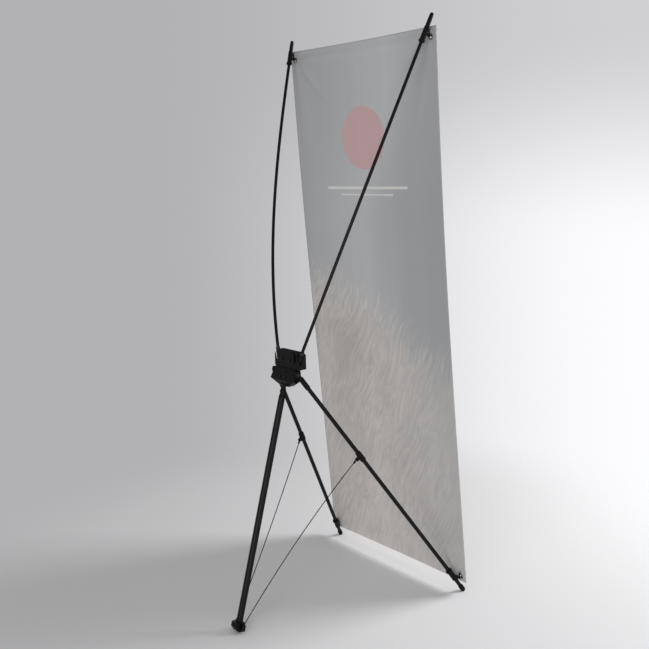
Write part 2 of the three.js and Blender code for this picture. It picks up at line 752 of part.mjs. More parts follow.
// The floor's underside, to cut a sole flat
const floorRoom = (at) => block(rearBootWidth * 3, rearBootWidth * 3, rearBootHeight,
  vector(at.x, at.y, at.z - rearBootHeight / 2));

// One front leg with its knuckle, cord collar, hook and rubber boot
function buildFrontLeg(sideName, side) {
  const arm = arms[`leg_${sideName}`];
  const socketRadius = legSocketDiameter / 2;
  const tubeRadius = legTubeDiameter / 2;
  const boreRadius = tubeRadius + gap;
  const profile = [
    [legNeckDiameter / 2, legSocketStart - slotClearance], [socketRadius, legSocketStart + slotClearance],
    [socketRadius, legSocketEnd]];
  const tubeBore = post(boreRadius, legTubeSeat - gap, legSocketEnd + cutOverrun);
  addPiece(arm, `leg_knuckle_${sideName}`,
    knuckle(legEyeDiameter, legEyeThickness, legNeckDiameter / 2, profile, [tubeBore]), blackMoulding);
  const legPin = headedPin(legBossInboard - pinGrip, legBossOutboard, side);
  addPiece(stand, `leg_pin_${sideName}`, intoStand(legPin, arm), blackSteel);

  const bootStart = legLength - bootLength + bootDiameter / 2;
  const bootSeat = bootStart + bootBoreDepth;
  const tube = ring(tubeRadius - legTubeWall, tubeRadius, legTubeSeat, bootSeat - gap);
  addPiece(arm, `leg_tube_${sideName}`, tube, blackPaintedTube);

  const bootRadius = bootDiameter / 2;
  const onDome = (angle) => [bootRadius * Math.cos(angle), legLength + bootRadius * Math.sin(angle)];
  const boot = turned([
    [boreRadius, bootStart], [bootRadius, bootStart], onDome(0), onDome(Math.PI / 6), onDome(Math.PI / 3),
    [0, legLength + bootRadius], [0, bootSeat], [boreRadius, bootSeat], [boreRadius, bootStart]]);
  const floor = outOfStand(floorRoom(mirrored(legFoot, side).setZ(0)), arm);
  addPiece(arm, `leg_boot_${sideName}`, cut(boot, floor), blackRubber);

  const eyelet = mirrored(bottomEyelet, side);
  const hookEnd = legLength - legHookSleeveRise;
  const hookStart = hookEnd - legHookSleeveLength;
  const sleeve = join(
    post(boreRadius + legHookSleeveWall, hookStart, hookEnd),
    post(legHookRimDiameter / 2, hookStart, hookStart + legHookRimLength));
  const bore = post(boreRadius, hookStart - cutOverrun, hookEnd + cutOverrun);
  const armStart = vector(0, 0, (hookStart + hookEnd) / 2).applyMatrix4(arm.matrix);
  const hookSolid = outOfStand(hook(eyelet, armStart, -1, side), arm);
  addPiece(arm, `leg_hook_${sideName}`, cut(join(sleeve, hookSolid), bore), blackMoulding);

  buildCollar(sideName, side, arm, boreRadius);
}

// Where the left cord meets the top of its ear on the cleat
const rearLength = rearSole.distanceTo(rearPivot);
const cleatInner = rearBootWidth / 2 + gap;
const cleatEarOut = cleatInner + cleatEarDiameter / 2;
const cleatEarEnd = rearLength - cleatEarTop;
const cordEndLeft = vector(-cleatEarOut, -cleatEarAhead, cleatEarEnd - cordEndLift)
  .applyMatrix4(arms.rear.matrix);

// The lug's direction on its leg, towards the rear foot
function collarLug(sideName, side) {
  const arm = arms[`leg_${sideName}`];
  const middle = vector(0, 0, collarPlace);
  const cordEnd = localPoint(mirrored(cordEndLeft, side), arm);
  const towards = cordEnd.sub(middle).setZ(0).normalize();
  return { middle, towards };
}

// The collar that the cord is tied to: a ring on the leg, a lug and a rivet
function buildCollar(sideName, side, arm, boreRadius) {
  const { middle, towards } = collarLug(sideName, side);
  const acrossLug = up.clone().cross(towards);
  const outer = boreRadius + collarWall;
  const band = ring(boreRadius, outer, collarPlace - collarLength / 2, collarPlace + collarLength / 2);
  const lugShape = block(collarLugReach + collarWall, collarLugWidth, collarLugLength, vector(0, 0, 0));
  const lugMiddle = middle.clone().addScaledVector(towards, outer + (collarLugReach - collarWall) / 2 - gap);
  const lug = moved(lugShape, new THREE.Matrix4().makeBasis(towards, acrossLug, up).setPosition(lugMiddle));
  const holeCentre = middle.clone().addScaledVector(towards, outer + collarLugReach / 2);
  const hole = postBetween(
    holeCentre.clone().addScaledVector(acrossLug, -collarLugWidth),
    holeCentre.clone().addScaledVector(acrossLug, collarLugWidth), collarLugHole / 2, smallSides);
  const rivetFace = middle.clone().addScaledVector(acrossLug, outer + gap);
  const rivetInner = middle.clone().addScaledVector(acrossLug, boreRadius + gap);
  const rivetTop = rivetFace.clone().addScaledVector(acrossLug, rivetHeadThickness);
  const rivetBore = postBetween(middle, rivetTop, rivetShankDiameter / 2 + gap, cordSides);
  const bandBore = post(boreRadius, collarPlace - collarLength, collarPlace + collarLength);
  addPiece(arm, `cord_collar_${sideName}`, cut(join(band, lug), bandBore, hole, rivetBore), blackMoulding);
  addPiece(arm, `collar_rivet_${sideName}`, join(
    postBetween(rivetFace, rivetTop, rivetDiameter / 2, smallSides),
    postBetween(rivetInner, rivetTop, rivetShankDiameter / 2, cordSides)), steel);
}

// A stiff cord, bowed a little up and inwards, runs from the collar's lug to the cleat
function buildCord(sideName, side) {
  const arm = arms[`leg_${sideName}`];
  const { middle, towards } = collarLug(sideName, side);
  const lugEnd = legTubeDiameter / 2 + gap + collarWall + collarLugReach;
  const knot = middle.clone().addScaledVector(towards, lugEnd + cordDiameter / 2 + gap);
  const start = knot.applyMatrix4(arm.matrix);
  const end = mirrored(cordEndLeft, side);
  // The handle of such a curve stands twice as far off the chord as the curve itself
  const bow = vector(-cordBowIn * side, 0, cordBowUp);
  const handle = start.clone().add(end).divideScalar(2).addScaledVector(bow, 2);
  const line = new THREE.QuadraticBezierCurve3(start, handle, end);
  addPiece(stand, `cord_${sideName}`, barAlong(line, cordDiameter, cordSides, cordSteps), blackCord);
}

// The rear leg with its knuckle and tube
function buildRearLeg() {
  const arm = arms.rear;
  const tubeRadius = rearTubeDiameter / 2;
  const plugRadius = tubeRadius - rearTubeWall - gap;
  const plugEnd = rearShoulderEnd + rearPlugLength;
  const profile = [
    [rearNeckDiameter / 2, rearShoulderStart], [tubeRadius, rearShoulderEnd - rearPlugWall],
    [tubeRadius, rearShoulderEnd], [plugRadius, rearShoulderEnd], [plugRadius, plugEnd]];
  const hollow = post(plugRadius - rearPlugWall, rearShoulderEnd + rearPlugWall, plugEnd + cutOverrun);
  addPiece(arm, 'rear_knuckle',
    knuckle(rearEyeDiameter, rearEyeThickness, rearNeckDiameter / 2, profile, [hollow]), blackMoulding);
  addPiece(stand, 'rear_pin', intoStand(plainPin(-rearPinHalf, rearPinHalf), arm), blackSteel);
  const seatBottom = rearLength - rearBootHeight + rearBootSeatDepth;
  addPiece(arm, 'rear_tube', ring(
    tubeRadius - rearTubeWall, tubeRadius, rearShoulderEnd + gap, seatBottom - gap), blackPaintedTube);
  buildRearFoot(arm, seatBottom, tubeRadius);
}

// A rounded outline about a tube, in an arm's frame
function roundedOutline(half, rear, corner) {
  const side = half - corner;
  const back = rear - corner;
  const shape = new THREE.Shape();
  shape.absarc(side, back, corner, 0, Math.PI / 2);
  shape.absarc(-side, back, corner, Math.PI / 2, Math.PI);
  shape.absarc(-side, -side, corner, Math.PI, Math.PI * 3 / 2);
  shape.absarc(side, -side, corner, Math.PI * 3 / 2, Math.PI * 2);
  return shape;
}

// The cleat's screw, in the rear arm's frame, where -Y is the front
const cleatScrew = {
  face: vector(0, -cleatInner - cleatWall, rearLength - (cleatStrapBottom + cleatStrapTop) / 2),
  out: vector(0, -1, 0),
  shank: cleatScrewShankLength,
};

// The rear foot: a boot in line with the tube, with a slanting heel and flat under its front, on a pad
function buildRearFoot(arm, seatBottom, tubeRadius) {
  const start = rearLength - rearBootHeight;
  const outline = roundedOutline(rearBootWidth / 2, rearBootRear, rearBootCorner);
  const blank = solidOf(thickened(outline, rearBootHeight - rearBootEnd)
    .translate(0, 0, start));
  const tubeSeat = post(tubeRadius + gap, start - cutOverrun, seatBottom);
  const rear = rearBootRear + cutOverrun;
  const heel = slabAcross(new THREE.Shape([
    new THREE.Vector2(rearBootHeel, rearLength),
    new THREE.Vector2(rearBootRear, rearLength - rearBootHeelRise),
    new THREE.Vector2(rear, rearLength - rearBootHeelRise),
    new THREE.Vector2(rear, rearLength + cutOverrun),
    new THREE.Vector2(rearBootHeel, rearLength + cutOverrun)]), rearBootWidth * 2);
  const floor = outOfStand(floorRoom(rearSole.clone().setZ(rearPadHeight + gap)), arm);
  addPiece(arm, 'rear_boot', cut(blank, tubeSeat, heel, floor, screwBore(cleatScrew)), blackMoulding);
  const pad = block(rearPadWidth, rearPadLength, rearPadHeight,
    vector(0, rearSole.y - rearPadAhead, rearPadHeight / 2));
  addPiece(arm, 'rear_pad', outOfStand(pad, arm), blackRubber);
  buildCleat(arm);
}

// The strap round the front of the rear foot, with an ear on each side for a cord, and its screw
function buildCleat(arm) {
  const outer = cleatInner + cleatWall;
  const round = rearBootCorner + gap;
  const strapHeight = cleatStrapTop - cleatStrapBottom;
  const strapEnd = rearLength - cleatStrapTop;
  const outline = thickened(roundedOutline(outer, outer, round + cleatWall), strapHeight);
  const opening = thickened(roundedOutline(cleatInner, outer * 2, round), rearBootHeight * 2);
  const strap = cut(
    solidOf(outline.translate(0, 0, strapEnd)),
    solidOf(opening.translate(0, 0, strapEnd - rearBootHeight)),
    block(outer * 3, outer * 2, strapHeight * 3, vector(0, outer, strapEnd)));
  const ear = post(cleatEarDiameter / 2, cleatEarEnd, rearLength - cleatEarBottom);
  const holeEnd = cleatEarEnd + cleatHoleDepth;
  const hole = post(cleatHoleDiameter / 2, cleatEarEnd - cutOverrun, holeEnd, smallSides);
  const atEar = (solid, side) => solid.translate([cleatEarOut * side, -cleatEarAhead, 0]);
  const body = cut(
    join(strap, atEar(ear, 1), atEar(ear, -1)), atEar(hole, 1), atEar(hole, -1), screwBore(cleatScrew));
  addPiece(arm, 'cord_cleat', body, blackMoulding);
  addPiece(arm, 'cleat_screw', screw(cleatScrew, cleatScrewDiameter, cleatScrewHead), blackSteel);
}

// How far the hanging sheet stands behind its plane. across and along run from 0 to 1.
function sheetFold(across, along) {
  const bow = sheetBow * Math.sin(Math.PI * along ** sheetBowSkew);
  const fromLeft = (1 - across) * sheetWidth;
  const fromRight = across * sheetWidth;
  const fromTop = (1 - along) * sheetHeight;
  const fromBottom = along * sheetHeight;
  const crease = (side, end) => {
    const off = (side - end) / cornerCreaseWidth;
    const far = Math.hypot(side, end) / cornerCreaseReach;
    return (far * Math.exp(1 - far)) ** 2 * Math.exp(-off * off);
  };
  const corners = crease(fromLeft, fromTop) + crease(fromRight, fromTop)
    + crease(fromLeft, fromBottom) + crease(fromRight, fromBottom);
  return bow + cornerCrease * corners;
}

// The sheet's edges draw in a little between the four corners that hold it
function sheetPoint(across, along) {
  const drawSide = sheetEdgeDraw * Math.sin(Math.PI * along) * (2 * across - 1);
  const drawEnd = sheetEdgeDraw * Math.sin(Math.PI * across) * (2 * along - 1);
  const centred = (across - 1 / 2) * sheetWidth;
  return onSheet(centred - drawSide, along * sheetHeight - drawEnd)
    .addScaledVector(sheetRear, sheetFold(across, along));
}

// The sheet as a closed skin: a front, a back and four edges
function sheetSolid() {
  const columns = sheetCellsAcross + 1;
  const rows = sheetCellsUp + 1;
  const position = [];
  for (const face of [-1, 1]) {
    for (let row = 0; row < rows; row += 1) {
      for (let column = 0; column < columns; column += 1) {
        const point = sheetPoint(column / sheetCellsAcross, row / sheetCellsUp);
        point.addScaledVector(sheetRear, face * sheetThickness / 2);
        position.push(point.x, point.y, point.z);
      }
    }
  }
  const index = [];
  const at = (face, row, column) => (face * rows + row) * columns + column;
  const quad = (a, b, c, d) => index.push(a, b, c, a, c, d);
  // The cells' diagonals mirror each other about the sheet's middle
  const cell = ([a, b, c, d], farHalf) => (farHalf ? quad(b, c, d, a) : quad(a, b, c, d));
  for (let row = 0; row < sheetCellsUp; row += 1) {
    for (let column = 0; column < sheetCellsAcross; column += 1) {
      const farHalf = column >= sheetCellsAcross / 2;
      const corners = (face) => [
        at(face, row, column), at(face, row, column + 1),
        at(face, row + 1, column + 1), at(face, row + 1, column)];
      const [a, b, c, d] = corners(1);
      cell(corners(0), farHalf);
      cell([a, d, c, b], farHalf);
    }
    quad(at(0, row, 0), at(0, row + 1, 0), at(1, row + 1, 0), at(1, row, 0));
    const last = sheetCellsAcross;
    quad(at(0, row, last), at(1, row, last), at(1, row + 1, last), at(0, row + 1, last));
  }
  for (let column = 0; column < sheetCellsAcross; column += 1) {
    quad(at(0, 0, column), at(1, 0, column), at(1, 0, column + 1), at(0, 0, column + 1));
    const last = sheetCellsUp;
    quad(at(0, last, column), at(0, last, column + 1), at(1, last, column + 1), at(1, last, column));
  }
  const geometry = new THREE.BufferGeometry();
  geometry.setAttribute('position', new THREE.Float32BufferAttribute(position, 3));
  geometry.setIndex(index);
  return solidOf(geometry);
}

function buildSheet() {
  const barrelOuter = eyeletBore / 2 + eyeletBarrelWall;
  const holes = [];
  for (const [sideName, side] of Object.entries(sides)) {
    for (const [endName, place] of [['top', topEyelet], ['bottom', bottomEyelet]]) {
      const centre = mirrored(place, side);
      const back = centre.clone().addScaledVector(sheetRear, cutOverrun);
      const front = centre.clone().addScaledVector(sheetRear, -cutOverrun);
      holes.push(postBetween(front, back, barrelOuter + gap, smallSides));
      addEyelet(`eyelet_${endName}_${sideName}`, centre, barrelOuter);
    }
  }
  addPiece(stand, 'banner_sheet', cut(sheetSolid(), ...holes), translucentPrint);
}

// A pressed ring with a flange on each side of the sheet
function addEyelet(name, centre, barrelOuter) {
  const inner = eyeletBore / 2;
  const flange = eyeletFlange / 2;
  const seat = sheetThickness / 2 + gap * 2;
  const lip = seat + eyeletFlangeThickness;
  const crest = flange - eyeletFlangeThickness / 2;
  const solid = turned([
    [inner, -lip], [crest, -lip], [flange, -seat], [barrelOuter, -seat],
    [barrelOuter, seat], [flange, seat], [crest, lip], [inner, lip], [inner, -lip]]);
  const frame = armFrame(name, centre, sheetRear, vector(1, 0, 0));
  addPiece(stand, name, intoStand(solid, frame), nickel);
}

buildHub();
for (const [sideName, side] of Object.entries(sides)) {
  buildRod(sideName, side);
  buildFrontLeg(sideName, side);
  buildCord(sideName, side);
}
buildRearLeg();
buildSheet();

// The origin lies on the floor under the middle of the whole stand
stand.updateMatrixWorld(true);
const whole = new THREE.Box3().setFromObject(stand, true);
stand.position.y = -(whole.min.y + whole.max.y) / 2;

export default stand;
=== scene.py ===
"""An x banner stand: a moulded hub, bent rods, straight legs and a printed film sheet.

Lengths are in metres, Z is up and the printed side faces -Y. "left" is +X.
"""
import json
import math

import bmesh
import bpy
from bpy.props import FloatProperty, FloatVectorProperty, IntProperty, PointerProperty
from bpy.types import Operator, Panel, PropertyGroup
from mathutils import Matrix, Vector


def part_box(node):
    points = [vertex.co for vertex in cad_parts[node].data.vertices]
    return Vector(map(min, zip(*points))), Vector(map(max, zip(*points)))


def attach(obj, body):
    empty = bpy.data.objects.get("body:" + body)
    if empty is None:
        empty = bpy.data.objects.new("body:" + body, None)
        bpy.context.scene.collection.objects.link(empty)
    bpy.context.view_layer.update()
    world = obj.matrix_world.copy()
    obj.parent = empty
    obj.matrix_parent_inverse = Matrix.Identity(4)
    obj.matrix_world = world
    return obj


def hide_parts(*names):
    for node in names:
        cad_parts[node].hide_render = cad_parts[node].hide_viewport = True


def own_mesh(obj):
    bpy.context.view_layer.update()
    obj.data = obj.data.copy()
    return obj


bl_info = {
    "name": "X Banner Stand",
    "version": (1, 0, 0),
    "blender": (4, 5, 0),
    "location": "3D View > Sidebar > Banner Stand",
    "description": "Dresses the frame of an x banner stand with its pieces, print and finishes",
    "category": "Object",
}

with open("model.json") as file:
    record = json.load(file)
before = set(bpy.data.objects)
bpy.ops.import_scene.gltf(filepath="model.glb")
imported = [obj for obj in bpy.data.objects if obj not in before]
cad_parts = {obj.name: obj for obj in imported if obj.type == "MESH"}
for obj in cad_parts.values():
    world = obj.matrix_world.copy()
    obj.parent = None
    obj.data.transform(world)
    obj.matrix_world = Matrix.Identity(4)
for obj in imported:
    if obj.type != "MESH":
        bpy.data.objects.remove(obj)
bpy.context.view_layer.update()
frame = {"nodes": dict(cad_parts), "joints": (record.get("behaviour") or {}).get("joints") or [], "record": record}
SIDES = {"left": 1, "right": -1}
JOINTS = {joint["name"]: joint for joint in frame["joints"]}
SHEET_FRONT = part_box("banner_sheet")[0].y    # the front of the sheet's bottom edge

GRAINS_PER_PATCH = 14    # a finish also varies in patches this much wider than its grain
WAVE_RADIANS = 20    # what a wave texture of scale 1 turns through in each metre
RIM_CREASE = 0.8    # how much of a turned piece's rims subdivision keeps, from 0 to 1
RIM_ANGLE = math.radians(40)    # edges of a turned piece that are sharper than this are rims
SMOOTHING_ROUNDS = 3    # for the edges of a moulded piece, each rounds them by part of a cell


def linear(hex_colour):
    """An sRGB hex colour as the linear values that Blender's sockets take."""
    channels = [int(hex_colour[i:i + 2], 16) / 255 for i in (1, 3, 5)]
    return tuple(c / 12.92 if c <= 0.04045 else ((c + 0.055) / 1.055) ** 2.4 for c in channels)


def length(name, description, default):
    return FloatProperty(name=name, description=description, default=default, unit="LENGTH", precision=4)


def colour(name, description, default):
    return FloatVectorProperty(
        name=name, description=description, default=linear(default), subtype="COLOR", min=0, max=1)


class SheetSettings(PropertyGroup):
    """Sizes of the printed sheet, the way it hangs and the colours of its print."""
    width: length("Width", "Cut width of the film", 0.6)
    height: length("Height", "Cut height of the film", 1.6)
    thickness: length("Thickness", "Thickness of the film", 0.0004)
    lean_back: length("Lean", "How far the top edge stands behind the bottom edge", 0.1315)
    lift: length("Lift", "Height of the bottom edge over the floor", 0.035)
    bow: length("Bow", "How far the middle bows to the rear", 0.009)
    edge_draw: length("Edge draw", "How far each edge draws in between its corners", 0.003)
    crease: length("Crease", "Depth of the fold that runs in from each corner", 0.0072)
    crease_width: length("Crease width", "Half width of that fold", 0.018)
    crease_reach: length("Crease reach", "How far from the corner that fold is deepest", 0.11)
    top_fold: length("Top fold", "Depth of the fold that the hooks pull along the top edge", 0.0062)
    top_fold_drop: length("Top fold drop", "From the top edge to the middle of that fold", 0.027)
    top_fold_width: length("Top fold width", "Half width of that fold", 0.011)
    pucker: length("Pucker", "Depth of the small pulls about each eyelet", 0.0009)
    pucker_start: length("Pucker start", "From the eyelet's middle to where they are deepest", 0.015)
    pucker_reach: length("Pucker reach", "From the eyelet's middle to where they fade", 0.07)
    roll_wave: length("Roll wave", "Depth of the waves that rolling leaves in the film", 0.0005)
    eyelet_side: length("Eyelet inset", "From the side edge to an eyelet's middle", 0.02)
    eyelet_top: length("Top inset", "From the top edge to an eyelet's middle", 0.026)
    eyelet_bottom: length("Bottom inset", "From the bottom edge to an eyelet's middle", 0.016)
    eyelet_bore: length("Eyelet bore", "Inside diameter of an eyelet", 0.0084)
    eyelet_flange: length("Eyelet flange", "Outside diameter of an eyelet", 0.016)
    columns: IntProperty(name="Columns", description="Cells across the film", default=120, min=30)
    film: colour("Film", "Bare rear of the film", "#d9dadc")
    painted_show_through: FloatProperty(
        name="Show-through", description="Share of the print that shows at the rear",
        default=0.46, min=0, max=1, subtype="FACTOR")
    night: colour("Dark sky", "Sky at the print's darkest edge", "#262a2c")
    dusk: colour("Dim sky", "Sky beside that edge", "#565a5c")
    haze: colour("Light sky", "Sky over the middle of the print", "#a7a8a9")
    mist: colour("Far sky", "Sky at the print's other edge", "#7a7c7e")
    straw: colour("Straw", "Lit blades of grass", "#d6c8ba")
    earth: colour("Earth", "Shaded blades of grass", "#a39688")
    crest: length("Crest", "Mean height of the hillside's crest, less what its blades add", 0.76)
    crest_swell: length("Crest swell", "How far the crest rises and falls about that", 0.13)
    blade_reach: length("Blade reach", "How far the blades stand out of the crest", 0.34)
    disc: length("Disc", "Radius of the red disc", 0.09)
    disc_drop: length("Disc drop", "From the top edge to the disc's middle", 0.27)
    sun: colour("Sun", "Red disc", "#c65c60")
    pale: colour("Pale line", "Thin lines under the disc", "#e8e6e0")


class FrameSettings(PropertyGroup):
    """Sizes of the rods, cords and mouldings."""
    rod_diameter: length("Rod", "Diameter of an upper rod", 0.009)
    rod_seat: length("Rod seat", "From a rod's pivot to its lower end", 0.013)
    rod_root: FloatVectorProperty(
        name="Root pull", description="Bezier handle at the left rod's root",
        default=(0.1244, -0.0539, 0.312), subtype="TRANSLATION", unit="LENGTH")
    rod_tip: FloatVectorProperty(
        name="Tip pull", description="Bezier handle at the left rod's tip",
        default=(-0.0593, 0.11, -0.2931), subtype="TRANSLATION", unit="LENGTH")
    rod_reach: FloatVectorProperty(
        name="Tip offset", description="From the left top eyelet to the rod's tip",
        default=(0.0084, 0.0053, 0.0526), subtype="TRANSLATION", unit="LENGTH")
    cord_diameter: length("Cord", "Diameter of a stay cord", 0.0026)
    cord_bow_in: length("Cord bow, inwards", "How far a cord's middle stands inwards", 0.009)
    cord_bow_up: length("Cord bow, upwards", "How far a cord's middle stands over its chord", 0.006)
    mould_grain: length("Moulding cell", "Cell of the skin of a moulded piece", 0.0007)
    hub_grain: length("Hub cell", "Cell of the skin of the hub's pieces", 0.001)


class FinishSettings(PropertyGroup):
    """Colours of the finishes."""
    abs_black: colour("ABS", "Moulded black ABS", "#101011")
    rod_black: colour("Glass fibre", "Drawn black glass fibre", "#0b0b0c")
    tube_black: colour("Powder coat", "Black powder coat on the tubes", "#0f0f11")
    rubber_black: colour("Rubber", "Moulded black rubber", "#111111")
    cord_black: colour("Cord", "Braided black cord", "#0e0e0f")
    oxide: colour("Black oxide", "Black oxide on steel", "#38383b")
    zinc: colour("Zinc", "Zinc plate on steel", "#a7a8aa")
    nickel: colour("Nickel", "Nickel plate on brass", "#72706c")


class StageSettings(PropertyGroup):
    """Floor, background and lamps."""
    floor_left: colour("Floor, left", "Floor at the picture's left", "#f3f3f5")
    floor_right: colour("Floor, right", "Floor at the picture's right", "#fdfdff")
    backdrop_left: colour("Background, left", "Background at the picture's left", "#b2b2b4")
    backdrop_right: colour("Background, right", "Background at the picture's right", "#fdfdff")
    floor_start: length("Fade start", "Radius at which the floor begins to fade", 0.9)
    floor_end: length("Fade end", "Radius at which the floor has gone over into the background", 1.7)
    key: FloatProperty(
        name="Key lamp", description="Power of the lamp before the print", default=58, unit="POWER")
    fill: FloatProperty(
        name="Fill lamp", description="Power of the lamp behind the stand", default=66, unit="POWER")
    ambient: FloatProperty(
        name="Ambient", description="Strength of the light from all round", default=0.31)


def settings():
    return bpy.context.scene.banner_stand


def feed(tree, node, values):
    """Sets a node's properties and sockets, by name or number. A socket as value is linked."""
    for key, value in values.items():
        if isinstance(value, bpy.types.NodeSocket):
            tree.links.new(value, node.inputs[key])
        elif isinstance(key, str) and hasattr(node, key):
            setattr(node, key, value)
        else:
            node.inputs[key].default_value = value


def add_node(tree, kind, values=None):
    node = tree.nodes.new(kind)
    feed(tree, node, values or {})
    return node


def per_metre(millimetres):
    """The scale of a pattern whose grain has this size."""
    return 1000 / millimetres


def noise(tree, vector, grain, detail, **more):
    """Noise with a grain of so many millimetres."""
    return add_node(
        tree, "ShaderNodeTexNoise",
        {"Vector": vector, "Scale": per_metre(grain), "Detail": detail, **more}).outputs[0]


def mapped(tree, vector, **values):
    """A vector turned or stretched, by Rotation or Scale."""
    return add_node(tree, "ShaderNodeMapping", {"Vector": vector, **values}).outputs[0]


def calc(tree, operation, *values):
    """A number worked out from sockets and numbers."""
    return add_node(
        tree, "ShaderNodeMath", {"operation": operation, **dict(enumerate(values))}).outputs[0]


def remap(tree, value, low=0.0, high=1.0, start=0.0, stop=1.0, kind="LINEAR"):
    """A value that lies between start and stop, brought to between low and high."""
    return add_node(
        tree, "ShaderNodeMapRange",
        {"interpolation_type": kind, 0: value, 1: start, 2: stop, 3: low, 4: high}).outputs[0]


def scaled(tree, vector, factor):
    """A vector or a colour times a number."""
    return add_node(
        tree, "ShaderNodeVectorMath", {"operation": "SCALE", 0: vector, 3: factor}).outputs[0]


def mixed(tree, share, first, second):
    """A colour that goes from the first to the second as share goes from 0 to 1."""
    return add_node(
        tree, "ShaderNodeMix", {"data_type": "RGBA", 0: share, 6: first, 7: second}).outputs[2]


def bump(tree, height, strength, distance):
    return add_node(
        tree, "ShaderNodeBump",
        {"Height": height, "Strength": strength, "Distance": distance}).outputs[0]


def own_uv(tree):
    return add_node(tree, "ShaderNodeUVMap", {"uv_map": "UVMap"}).outputs[0]


def new_material(name):
    material = bpy.data.materials.new(name)
    material.use_nodes = True
    return material, material.node_tree, material.node_tree.nodes["Principled BSDF"]


def mottled_finish(
        name, tint, roughness, grain, relief, metallic=0.0, stretch=(1, 1, 1), spread=0.08,
        specular=0.5):
    """A one-coloured finish with a grain. Grain and relief are in millimetres.

    Spread is how far the roughness strays to each side, and the colour as a share of itself.
    """
    material, tree, shader = new_material(name)
    where = add_node(tree, "ShaderNodeTexCoord").outputs["Object"]
    skin = noise(tree, mapped(tree, where, Scale=stretch), grain, 3.0, Roughness=0.6)
    patches = noise(tree, where, grain * GRAINS_PER_PATCH, 2.0)
    feed(tree, shader, {
        "Base Color": scaled(tree, tint[:3], remap(tree, patches, 1 - spread, 1 + spread)),
        "Metallic": metallic,
        "Roughness": remap(tree, skin, roughness - spread, roughness + spread),
        "Specular IOR Level": specular,
        "Normal": bump(tree, skin, 0.6, relief / 1000),
    })
    return material


def moulded_abs():
    # ABS from a spark-eroded mould: a satin skin with an even fine grain, drawn 2 mm coarse to show
    return mottled_finish("moulded_abs", settings().finish.abs_black, 0.42, 2, 0.06, specular=0.12)


def drawn_glass_fibre():
    # Polyester and glass fibre drawn through a die: glossier, with faint streaks along the rod,
    # drawn 1.5 mm wide
    material, tree, shader = new_material("drawn_glass_fibre")
    streaks = noise(tree, mapped(tree, own_uv(tree), Scale=(1, 0.05, 1)), 1.5, 2.0)
    feed(tree, shader, {
        "Base Color": (*settings().finish.rod_black, 1),
        "Roughness": remap(tree, streaks, 0.24, 0.4),
        "Specular IOR Level": 0.16,
        "Normal": bump(tree, streaks, 0.4, 0.00005),
    })
    return material


def powder_coat():
    # Baked polyester powder on steel tube: satin, with orange peel about 3 mm across
    return mottled_finish(
        "powder_coated_steel", settings().finish.tube_black, 0.4, 3, 0.05, specular=0.16)


def moulded_rubber():
    # Thermoplastic rubber: matt and slightly dusty, with a mottle drawn 2.5 mm coarse
    return mottled_finish(
        "moulded_rubber", settings().finish.rubber_black, 0.72, 2.5, 0.1, spread=0.14, specular=0.15)


def braided_cord():
    # Polyester braid: strands cross both ways, 1.6 mm apart, so that four go round the cord
    material, tree, shader = new_material("braided_polyester")
    uv = own_uv(tree)
    strands = []
    for lean in (38, -38):
        wave = add_node(tree, "ShaderNodeTexWave", {
            "Vector": mapped(tree, uv, Rotation=(0, 0, math.radians(lean))),
            "Scale": per_metre(1.609) * math.tau / WAVE_RADIANS, "Distortion": 0.4, "Detail": 1.0})
        strands.append(wave.outputs["Fac"])
    height = calc(tree, "MULTIPLY", *strands)
    # Painted shading: the colour is darker in the grooves between the strands and lighter on their crowns
    shade = remap(tree, height, 0.65, 1.25)
    feed(tree, shader, {
        "Base Color": scaled(tree, settings().finish.cord_black[:3], shade),
        "Roughness": 0.8,
        "Specular IOR Level": 0.2,
        "Normal": bump(tree, height, 0.8, 0.0003),
    })
    return material


def zinc_plate():
    # Zinc plate on turned steel: dull bright metal with fine turning marks, drawn 1 mm apart
    return mottled_finish(
        "zinc_plated_steel", settings().finish.zinc, 0.34, 1, 0.03, metallic=1.0, stretch=(1, 1, 4))


def nickel_plate():
    # Nickel plate on pressed brass, dulled by handling, with soft mottling from the press, drawn
    # 1.5 mm coarse
    return mottled_finish(
        "nickel_plated_brass", settings().finish.nickel, 0.42, 1.5, 0.02, metallic=1.0)


def black_oxide():
    # Chemically blackened steel: a thin dark skin that still shines dully like metal, with a grain
    # drawn 1 mm coarse
    return mottled_finish("black_oxide_steel", settings().finish.oxide, 0.45, 1, 0.03, metallic=1.0)


def colour_ramp(tree, value, first, last, between=()):
    """A colour ramp. Each stop is a position and a colour."""
    node = add_node(tree, "ShaderNodeValToRGB", {0: value})
    stops = node.color_ramp.elements
    for stop, (position, tint) in zip(stops, (first, last)):
        stop.position, stop.color = position, (*tint, 1)
    for position, tint in between:
        stops.new(position).color = (*tint, 1)
    return node.outputs[0]


def grass_and_blades(tree, uv, across, detail):
    """The grass of the hillside, and the noise that its blades are drawn from."""
    sheet = settings().sheet
    # Blades are long thin grains, leaning and swayed, each about 4 mm wide and 120 mm long
    leaning = mapped(tree, uv, Rotation=(0, 0, math.radians(-24)))
    sway = scaled(tree, noise(tree, uv, 200, 1.0).node.outputs["Color"], 0.09)
    swayed = add_node(
        tree, "ShaderNodeVectorMath", {"operation": "ADD", 0: leaning, 1: sway}).outputs[0]
    blades = noise(tree, mapped(tree, swayed, Scale=(1, 0.035, 1)), 7, detail, Roughness=0.62)
    clumps = noise(tree, swayed, 400 / 3, 3.0, Distortion=0.6)
    lit = calc(tree, "MULTIPLY_ADD", clumps, 0.45, blades)
    grass = colour_ramp(tree, lit, (0.56, sheet.earth), (0.86, sheet.straw))
    # Painted shade: the grass is darkened over the 0.34 m next to -X, to 0.42 of its colour at that edge
    return scaled(tree, grass, remap(tree, across, 0.42, 1.0, stop=0.34)), blades


